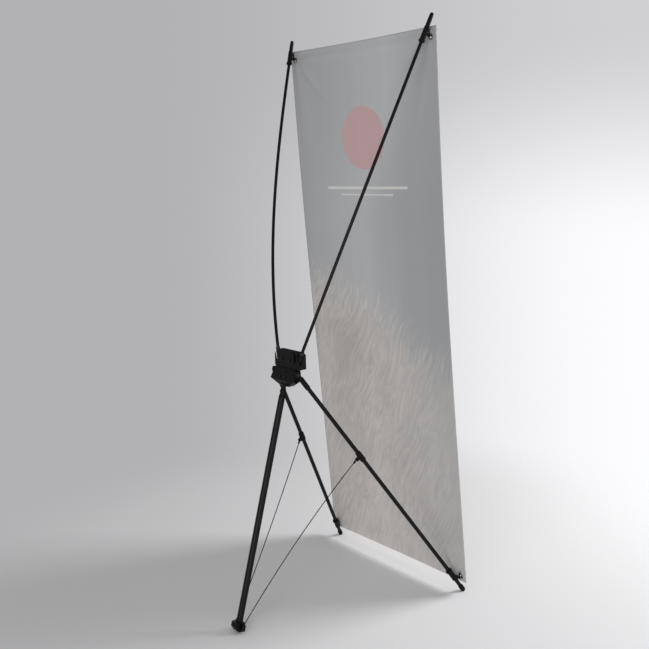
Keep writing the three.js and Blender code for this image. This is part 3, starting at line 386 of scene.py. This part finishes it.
def print_colour(tree, uv, detail):
    """The print: a red disc in a dark sky over a hillside of dry grass.

    uv runs from the film's lower corner at -X, in metres. Detail is that of the blades of grass.
    Returns a colour socket.
    """
    sheet = settings().sheet
    across, along = add_node(tree, "ShaderNodeSeparateXYZ", {0: uv}).outputs[:2]
    grass, blades = grass_and_blades(tree, uv, across, detail)

    # The hillside's crest is part of a wave that rises towards +X, and blades stand out of it
    swell = calc(tree, "SINE", calc(tree, "MULTIPLY_ADD", across, 4.6, -0.9))
    crest = calc(tree, "MULTIPLY_ADD", swell, sheet.crest_swell, sheet.crest)
    frayed = calc(tree, "MULTIPLY_ADD", blades, sheet.blade_reach, crest)
    hillside = remap(
        tree, calc(tree, "SUBTRACT", frayed, along), start=0.1, stop=0.26, kind="SMOOTHSTEP")

    # The print's sky is dark. Painted shade darkens it towards both sides, most at the side of -X, so it is
    # lightest over the middle. It clears towards the top
    clearing = remap(tree, along, 0.0, 0.22, 1.1, 1.45)
    sky = colour_ramp(
        tree, calc(tree, "MULTIPLY_ADD", across, 1 / sheet.width, clearing),
        (0, sheet.night), (1, sheet.mist), ((0.26, sheet.dusk), (0.54, sheet.haze)))
    ground = mixed(tree, hillside, sky, grass)

    disc_middle = (sheet.width / 2, sheet.height - sheet.disc_drop, 0)
    offset = add_node(
        tree, "ShaderNodeVectorMath", {"operation": "DISTANCE", 0: uv, 1: disc_middle}).outputs["Value"]
    blurred_edge = 0.0015
    disc = remap(tree, offset, start=sheet.disc + blurred_edge, stop=sheet.disc)
    colour_so_far = mixed(tree, disc, ground, (*sheet.sun, 1))

    # Two thin lines under the disc, each by its drop from the top edge and half its size both ways
    off_middle = calc(tree, "ABSOLUTE", calc(tree, "SUBTRACT", across, sheet.width / 2))
    for drop, half_width, half_height in ((0.415, 0.17, 0.004), (0.435, 0.11, 0.0025)):
        beside = calc(tree, "LESS_THAN", off_middle, half_width)
        level = calc(tree, "COMPARE", along, sheet.height - drop, half_height)
        line = calc(tree, "MULTIPLY", beside, level)
        colour_so_far = mixed(tree, line, colour_so_far, (*sheet.pale, 1))
    return colour_so_far


def film_surface(tree, shader, uv, roughness):
    """Polypropylene film: a smooth calendered skin with faint bands from its roll, 30 mm apart.

    Returns the bands.
    """
    bands = noise(tree, mapped(tree, uv, Scale=(1, 0.02, 1)), 30, 2.0)
    skin = noise(tree, uv, 3, 2.0)
    height = calc(tree, "MULTIPLY_ADD", skin, 0.08, bands)
    feed(tree, shader, {
        "Roughness": remap(tree, skin, roughness - 0.06, roughness + 0.06),
        "IOR": 1.49,
        "Normal": bump(tree, height, 0.35, 0.0008),
    })
    return bands


def film_front():
    # The printed face: ink under a satin laminate, at its full strength
    material, tree, shader = new_material("printed_film_face")
    uv = own_uv(tree)
    feed(tree, shader, {"Base Color": print_colour(tree, uv, 4.0)})
    film_surface(tree, shader, uv, 0.42)
    return material


def film_rear():
    # The unprinted face: grey translucent film that the ink shows through faintly and softly
    material, tree, shader = new_material("printed_film_rear")
    sheet = settings().sheet
    uv = own_uv(tree)
    # Painted light: the print really shows through the film, and this share also stands in for the light that
    # comes through the film from the front
    faint = mixed(tree, sheet.painted_show_through, (*sheet.film, 1), print_colour(tree, uv, 2.5))
    # Painted shading: the rear's colour follows the height of the roll bands, a little darker in their troughs and
    # lighter on their ridges
    shade = remap(tree, film_surface(tree, shader, uv, 0.5), 0.965, 1.035)
    feed(tree, shader, {"Base Color": scaled(tree, faint, shade)})
    return material


MATERIAL_MAKERS = {
    "moulded_abs": moulded_abs,
    "drawn_glass_fibre": drawn_glass_fibre,
    "powder_coated_steel": powder_coat,
    "moulded_rubber": moulded_rubber,
    "braided_polyester": braided_cord,
    "zinc_plated_steel": zinc_plate,
    "nickel_plated_brass": nickel_plate,
    "black_oxide_steel": black_oxide,
    "printed_film_face": film_front,
    "printed_film_rear": film_rear,
}
FINISH_OF_SLOT = {
    "black_moulding": "moulded_abs",
    "black_glass_fibre": "drawn_glass_fibre",
    "black_painted_tube": "powder_coated_steel",
    "black_rubber": "moulded_rubber",
    "black_cord": "braided_polyester",
    "steel": "zinc_plated_steel",
    "black_steel": "black_oxide_steel",
    "nickel": "nickel_plated_brass",
    "printed_sheet": "printed_film_rear",
}


def finish(name):
    """The material of that name, made the first time it is asked for."""
    return bpy.data.materials.get(name) or MATERIAL_MAKERS[name]()


def add_piece(name, bm, body, slot, nodes=(), sharp=40):
    """Makes an object of a bmesh, shades it smooth but for its sharp edges, and hangs it on a body."""
    mesh = bpy.data.meshes.new(name)
    bm.to_mesh(mesh)
    bm.free()
    mesh.shade_smooth()
    mesh.set_sharp_from_angle(angle=math.radians(sharp))
    mesh.materials.append(finish(FINISH_OF_SLOT[slot]))
    piece = bpy.data.objects.new(name, mesh)
    bpy.context.scene.collection.objects.link(piece)
    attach(piece, body)
    if nodes:
        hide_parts(*nodes)
    return piece


def welded_copy(node):
    """A copy of a CAD node's triangles, welded and with its flat faces made whole."""
    bm = bmesh.new()
    bm.from_mesh(frame["nodes"][node].data)
    bmesh.ops.remove_doubles(bm, verts=bm.verts, dist=1e-6)
    bmesh.ops.dissolve_limit(bm, angle_limit=math.radians(1), verts=bm.verts, edges=bm.edges)
    return bm


def body_of(node):
    return next(body for body, nodes in frame["record"]["behaviour"]["bodies"].items() if node in nodes)


def slot_of(node):
    return next(part["material_slot"] for part in frame["record"]["subparts"] if part["node"] == node)


def moulded_copy(node, cell):
    """A piece as it leaves its mould: the CAD shape in a fine even skin with softened edges."""
    rough = bpy.data.meshes.new(f"{node}_rough")
    bm = welded_copy(node)
    bm.to_mesh(rough)
    bm.free()
    carrier = bpy.data.objects.new(f"{node}_carrier", rough)
    bpy.context.scene.collection.objects.link(carrier)
    remesh = carrier.modifiers.new("skin", "REMESH")
    remesh.mode = "VOXEL"
    remesh.voxel_size = cell
    skin = bpy.data.meshes.new_from_object(carrier.evaluated_get(bpy.context.evaluated_depsgraph_get()))
    bm = bmesh.new()
    bm.from_mesh(skin)
    bpy.data.objects.remove(carrier)
    bpy.data.meshes.remove(rough)
    bpy.data.meshes.remove(skin)
    for _ in range(SMOOTHING_ROUNDS):
        bmesh.ops.smooth_vert(
            bm, verts=bm.verts, factor=0.5, use_axis_x=True, use_axis_y=True, use_axis_z=True)
    return add_piece(f"{node}_moulding", bm, body_of(node), slot_of(node), [node], sharp=70)


def turned_copy(node):
    """A turned or drawn piece: the CAD shape with its round faces made finer and its rims kept."""
    bm = welded_copy(node)
    creases = bm.edges.layers.float.new("crease_edge")
    for edge in bm.edges:
        if edge.calc_face_angle(0) > RIM_ANGLE:
            edge[creases] = RIM_CREASE
    piece = add_piece(f"{node}_turning", bm, body_of(node), slot_of(node), [node], sharp=60)
    rounder = piece.modifiers.new("round", "SUBSURF")
    rounder.levels = rounder.render_levels = 2
    return piece


def path_frames(points):
    """A matrix at each point of a path, its Z along the path, turned as little as can be."""
    frames = []
    across = None
    for i, point in enumerate(points):
        ahead = (points[min(i + 1, len(points) - 1)] - points[max(i - 1, 0)]).normalized()
        if across is None:
            across = ahead.orthogonal()
        across = (across - ahead * across.dot(ahead)).normalized()
        rotation = Matrix((across, ahead.cross(across), ahead)).transposed().to_4x4()
        frames.append(Matrix.Translation(point) @ rotation)
    return frames


def add_bar(bm, points, radius, sides):
    """A round bar along a path, with a UV map in metres: round the bar, then along it."""
    frames = path_frames(points)
    layer = bm.loops.layers.uv.get("UVMap") or bm.loops.layers.uv.new("UVMap")
    made = bmesh.ops.create_circle(bm, segments=sides, radius=radius, matrix=frames[0])
    ring = list(dict.fromkeys(edge for vert in made["verts"] for edge in vert.link_edges))
    first_ring, travelled = ring, 0.0
    for before, after in zip(frames, frames[1:]):
        grown = bmesh.ops.extrude_edge_only(bm, edges=ring)["geom"]
        verts = [item for item in grown if isinstance(item, bmesh.types.BMVert)]
        faces = [item for item in grown if isinstance(item, bmesh.types.BMFace)]
        bmesh.ops.transform(bm, matrix=after @ before.inverted(), verts=verts)
        fresh = set(verts)
        step = (after.translation - before.translation).length
        for face in faces:
            angles = []
            for loop in face.loops:
                local = (after if loop.vert in fresh else before).inverted() @ loop.vert.co
                angles.append(math.atan2(local.y, local.x) % math.tau)
            wrap = max(angles) - min(angles) > math.pi
            for loop, angle in zip(face.loops, angles):
                turn = angle + math.tau if wrap and angle < math.pi else angle
                along = travelled + (step if loop.vert in fresh else 0)
                loop[layer].uv = (turn * radius, along)
        ring = [item for item in grown if isinstance(item, bmesh.types.BMEdge)
                and item.verts[0] in fresh and item.verts[1] in fresh]
        travelled += step
    bmesh.ops.holes_fill(bm, edges=first_ring + ring, sides=sides)
    bmesh.ops.recalc_face_normals(bm, faces=bm.faces)
    return bm


def bezier(a, a_handle, b_handle, b, steps):
    """Points along a cubic curve from a to b."""
    points = []
    for i in range(steps + 1):
        t = i / steps
        s = 1 - t
        points.append(a * s ** 3 + a_handle * (3 * s * s * t) + b_handle * (3 * s * t * t) + b * t ** 3)
    return points


def mirrored(vector, side):
    """A vector of the left side, turned over for the right one."""
    return Vector((vector[0] * side, vector[1], vector[2]))


def middle_of(node):
    low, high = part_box(node)
    return (low + high) / 2


def lean_angle():
    sheet = settings().sheet
    return math.asin(sheet.lean_back / sheet.height)


def sheet_axes():
    """The directions up the sheet and out of its rear."""
    lean = lean_angle()
    return Vector((0, math.sin(lean), math.cos(lean))), Vector((0, math.cos(lean), -math.sin(lean)))


def sheet_fold(across, along):
    """How far the sheet stands behind its plane. across and along run from 0 to 1."""
    sheet = settings().sheet
    # The power puts the deepest place of the bow above the middle
    fold = sheet.bow * math.sin(math.pi * along ** 1.4)
    edges = (across * sheet.width, (1 - across) * sheet.width)
    ends = (along * sheet.height, (1 - along) * sheet.height)
    corners = 0.0
    pulls = 0.0
    for side in edges:
        for end, inset in zip(ends, (sheet.eyelet_bottom, sheet.eyelet_top)):
            # One crease runs in from each corner, halfway between its two edges
            off = (side - end) / sheet.crease_width
            far = math.hypot(side, end) / sheet.crease_reach
            corners += (far * math.exp(1 - far)) ** 5 * math.exp(-off * off)
            # Nine small pulls stand round each eyelet, from its flange outwards
            near = math.hypot(side - sheet.eyelet_side, end - inset)
            angle = math.atan2(end - inset, side - sheet.eyelet_side)
            fade = math.exp(-(near / sheet.pucker_reach) ** 2)
            pulls += fade * min(1, near / sheet.pucker_start) * math.cos(9 * angle)
    fold += sheet.crease * corners
    # The top fold starts beyond the eyelets. Within about 0.12 m it falls to a third of its depth
    below_top = (ends[1] - sheet.top_fold_drop) / sheet.top_fold_width
    between = max(0, min(edges) / (2 * sheet.eyelet_side) - 1)
    pulled = min(1, between) * (0.35 + 0.65 * math.exp(-min(edges) / 0.12))
    fold += sheet.top_fold * pulled * math.exp(-below_top * below_top)
    fold += sheet.pucker * pulls
    # Rolling leaves waves that lean a little. The taut ends have none
    hang = math.sin(math.pi * along)
    return fold + sheet.roll_wave * hang * math.sin(math.tau * 5.3 * across + 2.1 * along)


def sheet_point(across, along):
    """A point on the sheet. across runs from -X to +X and along from the bottom to the top."""
    sheet = settings().sheet
    up, rear = sheet_axes()
    draw_side = sheet.edge_draw * math.sin(math.pi * along) * (2 * across - 1)
    draw_end = sheet.edge_draw * math.sin(math.pi * across) * (2 * along - 1)
    foot = SHEET_FRONT + sheet.thickness / 2
    corner = Vector(((across - 0.5) * sheet.width - draw_side, foot, sheet.lift))
    return corner + up * (along * sheet.height - draw_end) + rear * sheet_fold(across, along)


def row_heights():
    """Heights of the film's rows, so that the eyelets' middles lie on a row."""
    sheet = settings().sheet
    cell = sheet.width / sheet.columns
    stops = [0, sheet.eyelet_bottom, sheet.height - sheet.eyelet_top, sheet.height]
    heights = [0.0]
    for low, high in zip(stops, stops[1:]):
        count = round((high - low) / (cell * 1.03))    # the cells are a little taller than wide
        heights += [low + (high - low) * (i + 1) / count for i in range(count)]
    return heights


def film_grid(columns, rows):
    """A grid of the film between the given shares of its width and height, with its UV map."""
    sheet = settings().sheet
    bm = bmesh.new()
    layer = bm.loops.layers.uv.new("UVMap")
    bmesh.ops.create_grid(bm, x_segments=len(columns) - 1, y_segments=len(rows) - 1, size=0.5)
    flat = {}
    for vert in bm.verts:
        column = round((vert.co.x + 0.5) * (len(columns) - 1))
        row = round((vert.co.y + 0.5) * (len(rows) - 1))
        flat[vert] = (columns[column], rows[row])
    for face in bm.faces:
        for loop in face.loops:
            across, along = flat[loop.vert]
            loop[layer].uv = (across * sheet.width, along * sheet.height)
    for vert, (across, along) in flat.items():
        vert.co = sheet_point(across, along)
    bm.normal_update()
    return bm


def gather(piece):
    """Gives the piece its own copy of its mesh."""
    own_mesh(piece)


class BANNER_OT_stage(Operator):
    """Makes the floor, the background, the lamps and the camera"""
    bl_idname = "banner_stand.make_stage"
    bl_label = "Stage and Camera"

    # The camera looks down 10.5 degrees on the rear of the stand from the side of -X
    place = Vector((-1.84768, 1.538281, 1.27836))
    right = Vector((-0.65168469, -0.7580721, -0.02517464))
    up = Vector((0.12190526, -0.13744069, 0.98297974))
    focal_length = 47.27

    floor_radius = 6
    floor_sides = 96
    lamps = {"key": ((-1.25, -2.5, 1.9), 1.4), "fill": ((-1.9, 3.4, 0.9), 3)}    # place and size
    lamps_aim = Vector((0, 0, 0.7))

    def execute(self, context):
        scene = context.scene
        scene.view_settings.view_transform = "Standard"
        self.add_camera(scene)
        self.add_floor(scene)
        self.add_world(scene)
        for name, (place, size) in self.lamps.items():
            self.add_lamp(scene, name, place, size, getattr(settings().stage, name))
        return {"FINISHED"}

    def add_camera(self, scene):
        lens = bpy.data.cameras.new("camera")
        lens.sensor_width = 36
        lens.lens = self.focal_length
        camera = bpy.data.objects.new("camera", lens)
        axes = Matrix((self.right, self.up, self.right.cross(self.up))).transposed().to_4x4()
        camera.matrix_world = Matrix.Translation(self.place) @ axes
        scene.collection.objects.link(camera)
        scene.camera = camera

    def share_across(self, tree, vector, low, high):
        """How far a point or direction lies towards the picture's right, from 0 at low to 1 at high."""
        level = Vector((self.right.x, self.right.y, 0)).normalized()
        along = add_node(
            tree, "ShaderNodeVectorMath", {"operation": "DOT_PRODUCT", 0: vector, 1: level})
        return remap(tree, along.outputs["Value"], start=low, stop=high, kind="SMOOTHSTEP")

    def add_floor(self, scene):
        bm = bmesh.new()
        bmesh.ops.create_circle(
            bm, cap_ends=True, segments=self.floor_sides, radius=self.floor_radius)
        mesh = bpy.data.meshes.new("floor")
        bm.to_mesh(mesh)
        bm.free()
        # Matt floor, with painted light that makes it paler towards the picture's right, the side of the key lamp.
        # It fades out into the background
        material, tree, shader = new_material("painted_floor")
        stage = settings().stage
        where = add_node(tree, "ShaderNodeTexCoord").outputs["Object"]
        share = self.share_across(tree, where, -0.9, 0.7)
        radius = add_node(tree, "ShaderNodeVectorMath", {"operation": "LENGTH", 0: where})
        feed(tree, shader, {
            "Base Color": mixed(tree, share, (*stage.floor_left, 1), (*stage.floor_right, 1)),
            "Alpha": remap(
                tree, radius.outputs["Value"], 1.0, 0.0, stage.floor_start, stage.floor_end,
                "SMOOTHSTEP"),
            "Roughness": 0.75,
        })
        mesh.materials.append(material)
        floor = bpy.data.objects.new("floor", mesh)
        scene.collection.objects.link(floor)

    def add_world(self, scene):
        world = bpy.data.worlds.new("studio")
        world.use_nodes = True
        scene.world = world
        tree = world.node_tree
        tree.nodes.clear()
        stage = settings().stage
        where = add_node(tree, "ShaderNodeTexCoord").outputs["Generated"]
        height = add_node(tree, "ShaderNodeSeparateXYZ", {0: where}).outputs[2]
        # Painted light and shade: the background goes from grey at the picture's left to white at its right, and
        # the bright side loses itself above the horizon
        low = remap(tree, height, 1.0, 0.35, -0.1, 0.14, "SMOOTHSTEP")
        share = calc(tree, "MULTIPLY", self.share_across(tree, where, -0.2, 0.36), low)
        tone = mixed(tree, share, (*stage.backdrop_left, 1), (*stage.backdrop_right, 1))
        # The camera and reflections see the background. All else gets an even light
        rays = add_node(tree, "ShaderNodeLightPath").outputs
        seen = rays["Is Camera Ray"]
        for name in ("Is Glossy Ray", "Is Transmission Ray"):
            seen = calc(tree, "MAXIMUM", seen, rays[name])
        shown = add_node(tree, "ShaderNodeBackground", {0: tone})
        light = add_node(tree, "ShaderNodeBackground", {0: (1, 1, 1, 1), 1: stage.ambient})
        either = add_node(
            tree, "ShaderNodeMixShader", {0: seen, 1: light.outputs[0], 2: shown.outputs[0]})
        add_node(tree, "ShaderNodeOutputWorld", {0: either.outputs[0]})

    def add_lamp(self, scene, name, place, size, power):
        lamp = bpy.data.lights.new(name, "AREA")
        lamp.shape = "DISK"
        lamp.size = size
        lamp.energy = power
        holder = bpy.data.objects.new(name, lamp)
        aim = (self.lamps_aim - Vector(place)).to_track_quat("-Z", "Y")
        holder.matrix_world = Matrix.Translation(place) @ aim.to_matrix().to_4x4()
        scene.collection.objects.link(holder)


class BANNER_OT_cords(Operator):
    """Makes the two stay cords, their loops through the collars' lugs and their knots at the cleat"""
    bl_idname = "banner_stand.make_cords"
    bl_label = "Stay Cords"

    sides = 12
    steps = 60
    steps_per_turn = 14
    gap = 0.0003    # between a cord and what it lies on
    lug_end = 0.0045    # from the lug's end to its hole's middle
    lug_half_width = 0.0044    # with a little room beside it
    into_ear = 0.007    # how far the cord's end goes down the ear's hole

    def execute(self, context):
        for name, side in SIDES.items():
            high, low = self.ends(name)
            self.add_cord(name, side, high, low)
            self.add_loop(name, high, low)
            self.add_knot(name, high, low)
        return {"FINISHED"}

    def ends(self, name):
        """The cord's upper and lower ends, the middles of the CAD cord's end faces."""
        bm = welded_copy(f"cord_{name}")
        caps = [face.calc_center_median() for face in bm.faces if len(face.verts) > 4]
        low, high = min(caps, key=lambda middle: middle.z), max(caps, key=lambda middle: middle.z)
        bm.free()
        return high, low

    def add_cord(self, name, side, high, low):
        """A stiff cord, bowed a little up and inwards.

        Once the stand is folded, 0.74 of its length is left between the collar and the cleat.
        """
        sizes = settings().frame
        bow = Vector((-side * sizes.cord_bow_in, 0, sizes.cord_bow_up))
        # The handle of such a curve stands twice as far off its chord as the curve does
        handle = (high + low) / 2 + bow * 2
        line = bezier(high, high.lerp(handle, 2 / 3), low.lerp(handle, 2 / 3), low, self.steps)
        bm = add_bar(bmesh.new(), line, sizes.cord_diameter / 2, self.sides)
        cord = add_piece(f"stay_cord_{name}", bm, f"stay_{name}", "black_cord", [f"cord_{name}"])
        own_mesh(cord)

    def wound(self, start, along, turns, pitch, wide, narrow):
        """Points of a winding about a line. Its radius goes from wide to narrow."""
        count = turns * self.steps_per_turn
        axes = along.to_track_quat("Z", "Y").to_matrix()
        points = []
        for i in range(count + 1):
            turned = i / self.steps_per_turn
            angle = math.tau * turned
            out = axes @ Vector((math.cos(angle), math.sin(angle), 0))
            points.append(start + along * pitch * turned + out * (wide + (narrow - wide) * i / count))
        return points

    def add_loop(self, name, high, low):
        """The cord's loop through the lug and the three-turn knot that closes it."""
        radius = settings().frame.cord_diameter / 2
        along = (low - high).normalized()
        collar = middle_of(f"cord_collar_{name}")
        leg = (middle_of(f"leg_boot_{name}") - middle_of(f"leg_knuckle_{name}")).normalized()
        outward = high - collar
        outward = (outward - leg * outward.dot(leg)).normalized()
        beside = leg.cross(outward)
        hole = high - outward * (self.lug_end + radius + self.gap)
        half = self.lug_half_width + radius
        # Half of the loop, from inside the hole round the lug's side to its end: out, across
        loop = [
            (0, half * 0.6), (0, half), (0.002, half + self.gap), (0.0048, half * 0.7),
            (0.0065, radius)]
        points = [high + along * 0.002]
        points += [hole + outward * out + beside * across for out, across in reversed(loop)]
        points += [hole + outward * out - beside * across for out, across in loop]
        points += [high + along * 0.002]
        bm = add_bar(bmesh.new(), smooth_path(points, 4), radius, self.sides)
        knot = self.wound(high + along * 0.001, along, 3, radius * 1.9, radius * 1.75, radius * 1.2)
        add_bar(bm, smooth_path(knot, 2), radius, self.sides)
        add_piece(f"cord_loop_{name}", bm, f"front_leg_{name}", "black_cord")

    def add_knot(self, name, high, low):
        """The knot on top of the cleat's ear and the cord's end down the ear's hole."""
        radius = settings().frame.cord_diameter / 2
        down = (middle_of("rear_pad") - Vector(JOINTS["rear_leg_fold"]["pos_m"])).normalized()
        turns = self.wound(low - down * 0.0032, down, 1, radius * 1.9, radius * 0.9, radius * 1.25)
        end = [low + down * depth for depth in (0.0005, 0.0025, self.into_ear)]
        bm = add_bar(bmesh.new(), smooth_path([*turns, *end], 3), radius, self.sides)
        add_piece(f"cord_knot_{name}", bm, "rear_leg", "black_cord")


def smooth_path(points, steps):
    """A curve through the points, with steps between each two of them."""
    ends = [points[0] * 2 - points[1], *points, points[-1] * 2 - points[-2]]
    curve = []
    for a, b, c, d in zip(ends, ends[1:], ends[2:], ends[3:]):
        for i in range(steps):
            t = i / steps
            curve.append(
                (b * 2 + (c - a) * t + (a * 2 - b * 5 + c * 4 - d) * t * t
                 + (b * 3 - a - c * 3 + d) * t ** 3) / 2)
    return [*curve, points[-1]]


class BANNER_OT_sheet(Operator):
    """Makes the printed film and its eyelets"""
    bl_idname = "banner_stand.make_sheet"
    bl_label = "Printed Sheet"

    def execute(self, context):
        sheet = settings().sheet
        columns = [i / sheet.columns for i in range(sheet.columns + 1)]
        rows = [height / sheet.height for height in row_heights()]
        bm = film_grid(columns, rows)
        self.open_eyelets(bm)
        film = add_piece("printed_film", bm, "banner", "printed_sheet", ["banner_sheet"], sharp=180)
        film.data.materials.clear()
        for name in ("printed_film_face", "printed_film_rear", "printed_film_rear"):
            film.data.materials.append(finish(name))
        self.thicken(film, sheet.thickness)
        gather(film)
        eyelets = [self.add_eyelet(end, name) for end in ("top", "bottom") for name in SIDES]
        return {"FINISHED"}

    def open_eyelets(self, bm):
        """Takes the four cells about each eyelet's middle out of the film."""
        sheet = settings().sheet
        layer = bm.loops.layers.uv["UVMap"]
        cell = sheet.width / sheet.columns
        middles = [
            Vector((across, along))
            for across in (sheet.eyelet_side, sheet.width - sheet.eyelet_side)
            for along in (sheet.eyelet_bottom, sheet.height - sheet.eyelet_top)]
        opened = []
        for face in bm.faces:
            centre = sum((loop[layer].uv for loop in face.loops), Vector((0, 0))) / len(face.loops)
            if any((centre - middle).length < cell for middle in middles):
                opened.append(face)
        bmesh.ops.delete(bm, geom=opened, context="FACES")

    def thicken(self, film, thickness):
        """Gives the film its thickness, with the rear face and the edges in its second material."""
        wall = film.modifiers.new("wall", "SOLIDIFY")
        wall.thickness = thickness
        wall.offset = 0
        wall.material_offset = wall.material_offset_rim = 1

    def add_eyelet(self, end, name):
        """A rolled ring: a lip is spun about the eyelet's axis."""
        sheet = settings().sheet
        node = f"eyelet_{end}_{name}"
        low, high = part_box(node)
        half = (high.y - low.y) / 2 - sheet.eyelet_flange / 2 * math.sin(lean_angle())
        half /= math.cos(lean_angle())
        bore, rim = sheet.eyelet_bore / 2, sheet.eyelet_flange / 2
        roll = 0.0011    # how far the flange rounds over at its bore and rim
        seat = half - 0.0008    # the flange's face on the film
        profile = [
            (bore, 0), (bore, half * 0.6), (bore + 0.0004, half * 0.9), (bore + roll, half),
            (rim - roll, half), (rim - 0.0003, half - 0.0002), (rim, half - 0.0005),
            (rim - 0.0003, seat), (bore + 0.001, seat)]
        outline = profile + [(radius, -height) for radius, height in reversed(profile[1:])]
        bm = bmesh.new()
        verts = [bm.verts.new((radius, 0, height)) for radius, height in outline]
        edges = [bm.edges.new((verts[i], verts[(i + 1) % len(verts)])) for i in range(len(verts))]
        bmesh.ops.spin(
            bm, geom=verts + edges, cent=(0, 0, 0), axis=(0, 0, 1), angle=math.tau, steps=40,
            use_merge=True)
        bmesh.ops.remove_doubles(bm, verts=bm.verts, dist=1e-7)
        bmesh.ops.recalc_face_normals(bm, faces=bm.faces)
        right, rear = Vector((1, 0, 0)), sheet_axes()[1]
        axes = Matrix((right, rear.cross(right), rear)).transposed().to_4x4()
        bmesh.ops.transform(bm, matrix=Matrix.Translation((low + high) / 2) @ axes, verts=bm.verts)
        piece = add_piece(f"rolled_eyelet_{end}_{name}", bm, body_of(node), "nickel", [node])
        if end == "bottom":
            gather(piece)
        return piece


class BANNER_OT_rods(Operator):
    """Makes the two bent rods with their knuckles, ferrules, caps and hooks"""
    bl_idname = "banner_stand.make_rods"
    bl_label = "Upper Rods"

    sides = 24
    steps = 96

    def execute(self, context):
        sizes = settings().frame
        for name, side in SIDES.items():
            pivot = Vector(JOINTS[f"rod_{name}_fold"]["pos_m"])
            handle = mirrored(sizes.rod_root, side)
            root = pivot + handle.normalized() * sizes.rod_seat
            tip = middle_of(f"eyelet_top_{name}") + mirrored(sizes.rod_reach, side)
            line = bezier(root, root + handle, tip + mirrored(sizes.rod_tip, side), tip, self.steps)
            bm = add_bar(bmesh.new(), line, sizes.rod_diameter / 2, self.sides)
            node = f"rod_{name}"
            add_piece(f"glass_fibre_{node}", bm, body_of(node), "black_glass_fibre", [node])
            moulded_copy(f"rod_knuckle_{name}", sizes.mould_grain)
            moulded_copy(f"rod_hook_{name}", sizes.mould_grain)
            turned_copy(f"rod_cap_{name}")
            turned_copy(f"rod_ferrule_{name}")
        return {"FINISHED"}


class BANNER_OT_front_legs(Operator):
    """Makes the two front legs with their knuckles, boots, hooks, collars and rivets"""
    bl_idname = "banner_stand.make_front_legs"
    bl_label = "Front Legs"

    def execute(self, context):
        sizes = settings().frame
        for name in SIDES:
            turned_copy(f"leg_tube_{name}")
            turned_copy(f"collar_rivet_{name}")
            for node in ("leg_knuckle", "leg_boot", "leg_hook", "cord_collar"):
                moulded_copy(f"{node}_{name}", sizes.mould_grain)
        return {"FINISHED"}


class BANNER_OT_rear_leg(Operator):
    """Makes the rear leg with its knuckle, boot, sole pad and cord cleat"""
    bl_idname = "banner_stand.make_rear_leg"
    bl_label = "Rear Leg"

    def execute(self, context):
        sizes = settings().frame
        turned_copy("rear_tube")
        turned_copy("cleat_screw")
        for node in ("rear_knuckle", "rear_boot", "cord_cleat", "rear_pad"):
            moulded_copy(node, sizes.mould_grain)
        return {"FINISHED"}


class BANNER_OT_hub(Operator):
    """Makes the hub's body, its covers, screws and pins"""
    bl_idname = "banner_stand.make_hub"
    bl_label = "Hub"

    def execute(self, context):
        sizes = settings().frame
        for node in ("hub_body", "hub_upper_cover", "hub_lower_cover"):
            moulded_copy(node, sizes.hub_grain)
        for node in frame["record"]["behaviour"]["bodies"]["hub"]:
            if "screw" in node or "pin" in node:
                turned_copy(node)
        return {"FINISHED"}


class BANNER_PT_panel(Panel):
    """Lists the stand's pieces and their sizes"""
    bl_label = "Banner Stand"
    bl_space_type = "VIEW_3D"
    bl_region_type = "UI"
    bl_category = "Banner Stand"

    def draw(self, context):
        layout = self.layout
        for operator in OPERATORS:
            layout.operator(operator.bl_idname)
        for group_name in ("sheet", "frame", "finish", "stage"):
            group = getattr(context.scene.banner_stand, group_name)
            box = layout.box()
            box.label(text=group_name.title())
            for prop in group.bl_rna.properties:
                if prop.identifier not in ("rna_type", "name"):
                    box.prop(group, prop.identifier)


class StandSettings(PropertyGroup):
    """All settings of the stand."""
    sheet: PointerProperty(type=SheetSettings, name="Sheet", description="The printed sheet")
    frame: PointerProperty(type=FrameSettings, name="Frame", description="Rods, cords and mouldings")
    finish: PointerProperty(type=FinishSettings, name="Finish", description="Colours of the finishes")
    stage: PointerProperty(type=StageSettings, name="Stage", description="Floor, background and lamps")


OPERATORS = (
    BANNER_OT_stage,
    BANNER_OT_cords,
    BANNER_OT_sheet,
    BANNER_OT_rods,
    BANNER_OT_front_legs,
    BANNER_OT_rear_leg,
    BANNER_OT_hub,
)
CLASSES = (
    SheetSettings, FrameSettings, FinishSettings, StageSettings, StandSettings, *OPERATORS,
    BANNER_PT_panel)


def register():
    for cls in CLASSES:
        bpy.utils.register_class(cls)
    bpy.types.Scene.banner_stand = PointerProperty(type=StandSettings)


def unregister():
    del bpy.types.Scene.banner_stand
    for cls in reversed(CLASSES):
        bpy.utils.unregister_class(cls)


def main():
    register()
    bpy.ops.banner_stand.make_stage()
    bpy.ops.banner_stand.make_cords()
    bpy.ops.banner_stand.make_sheet()
    bpy.ops.banner_stand.make_rods()
    bpy.ops.banner_stand.make_front_legs()
    bpy.ops.banner_stand.make_rear_leg()
    bpy.ops.banner_stand.make_hub()


if __name__ == "__main__":
    main()
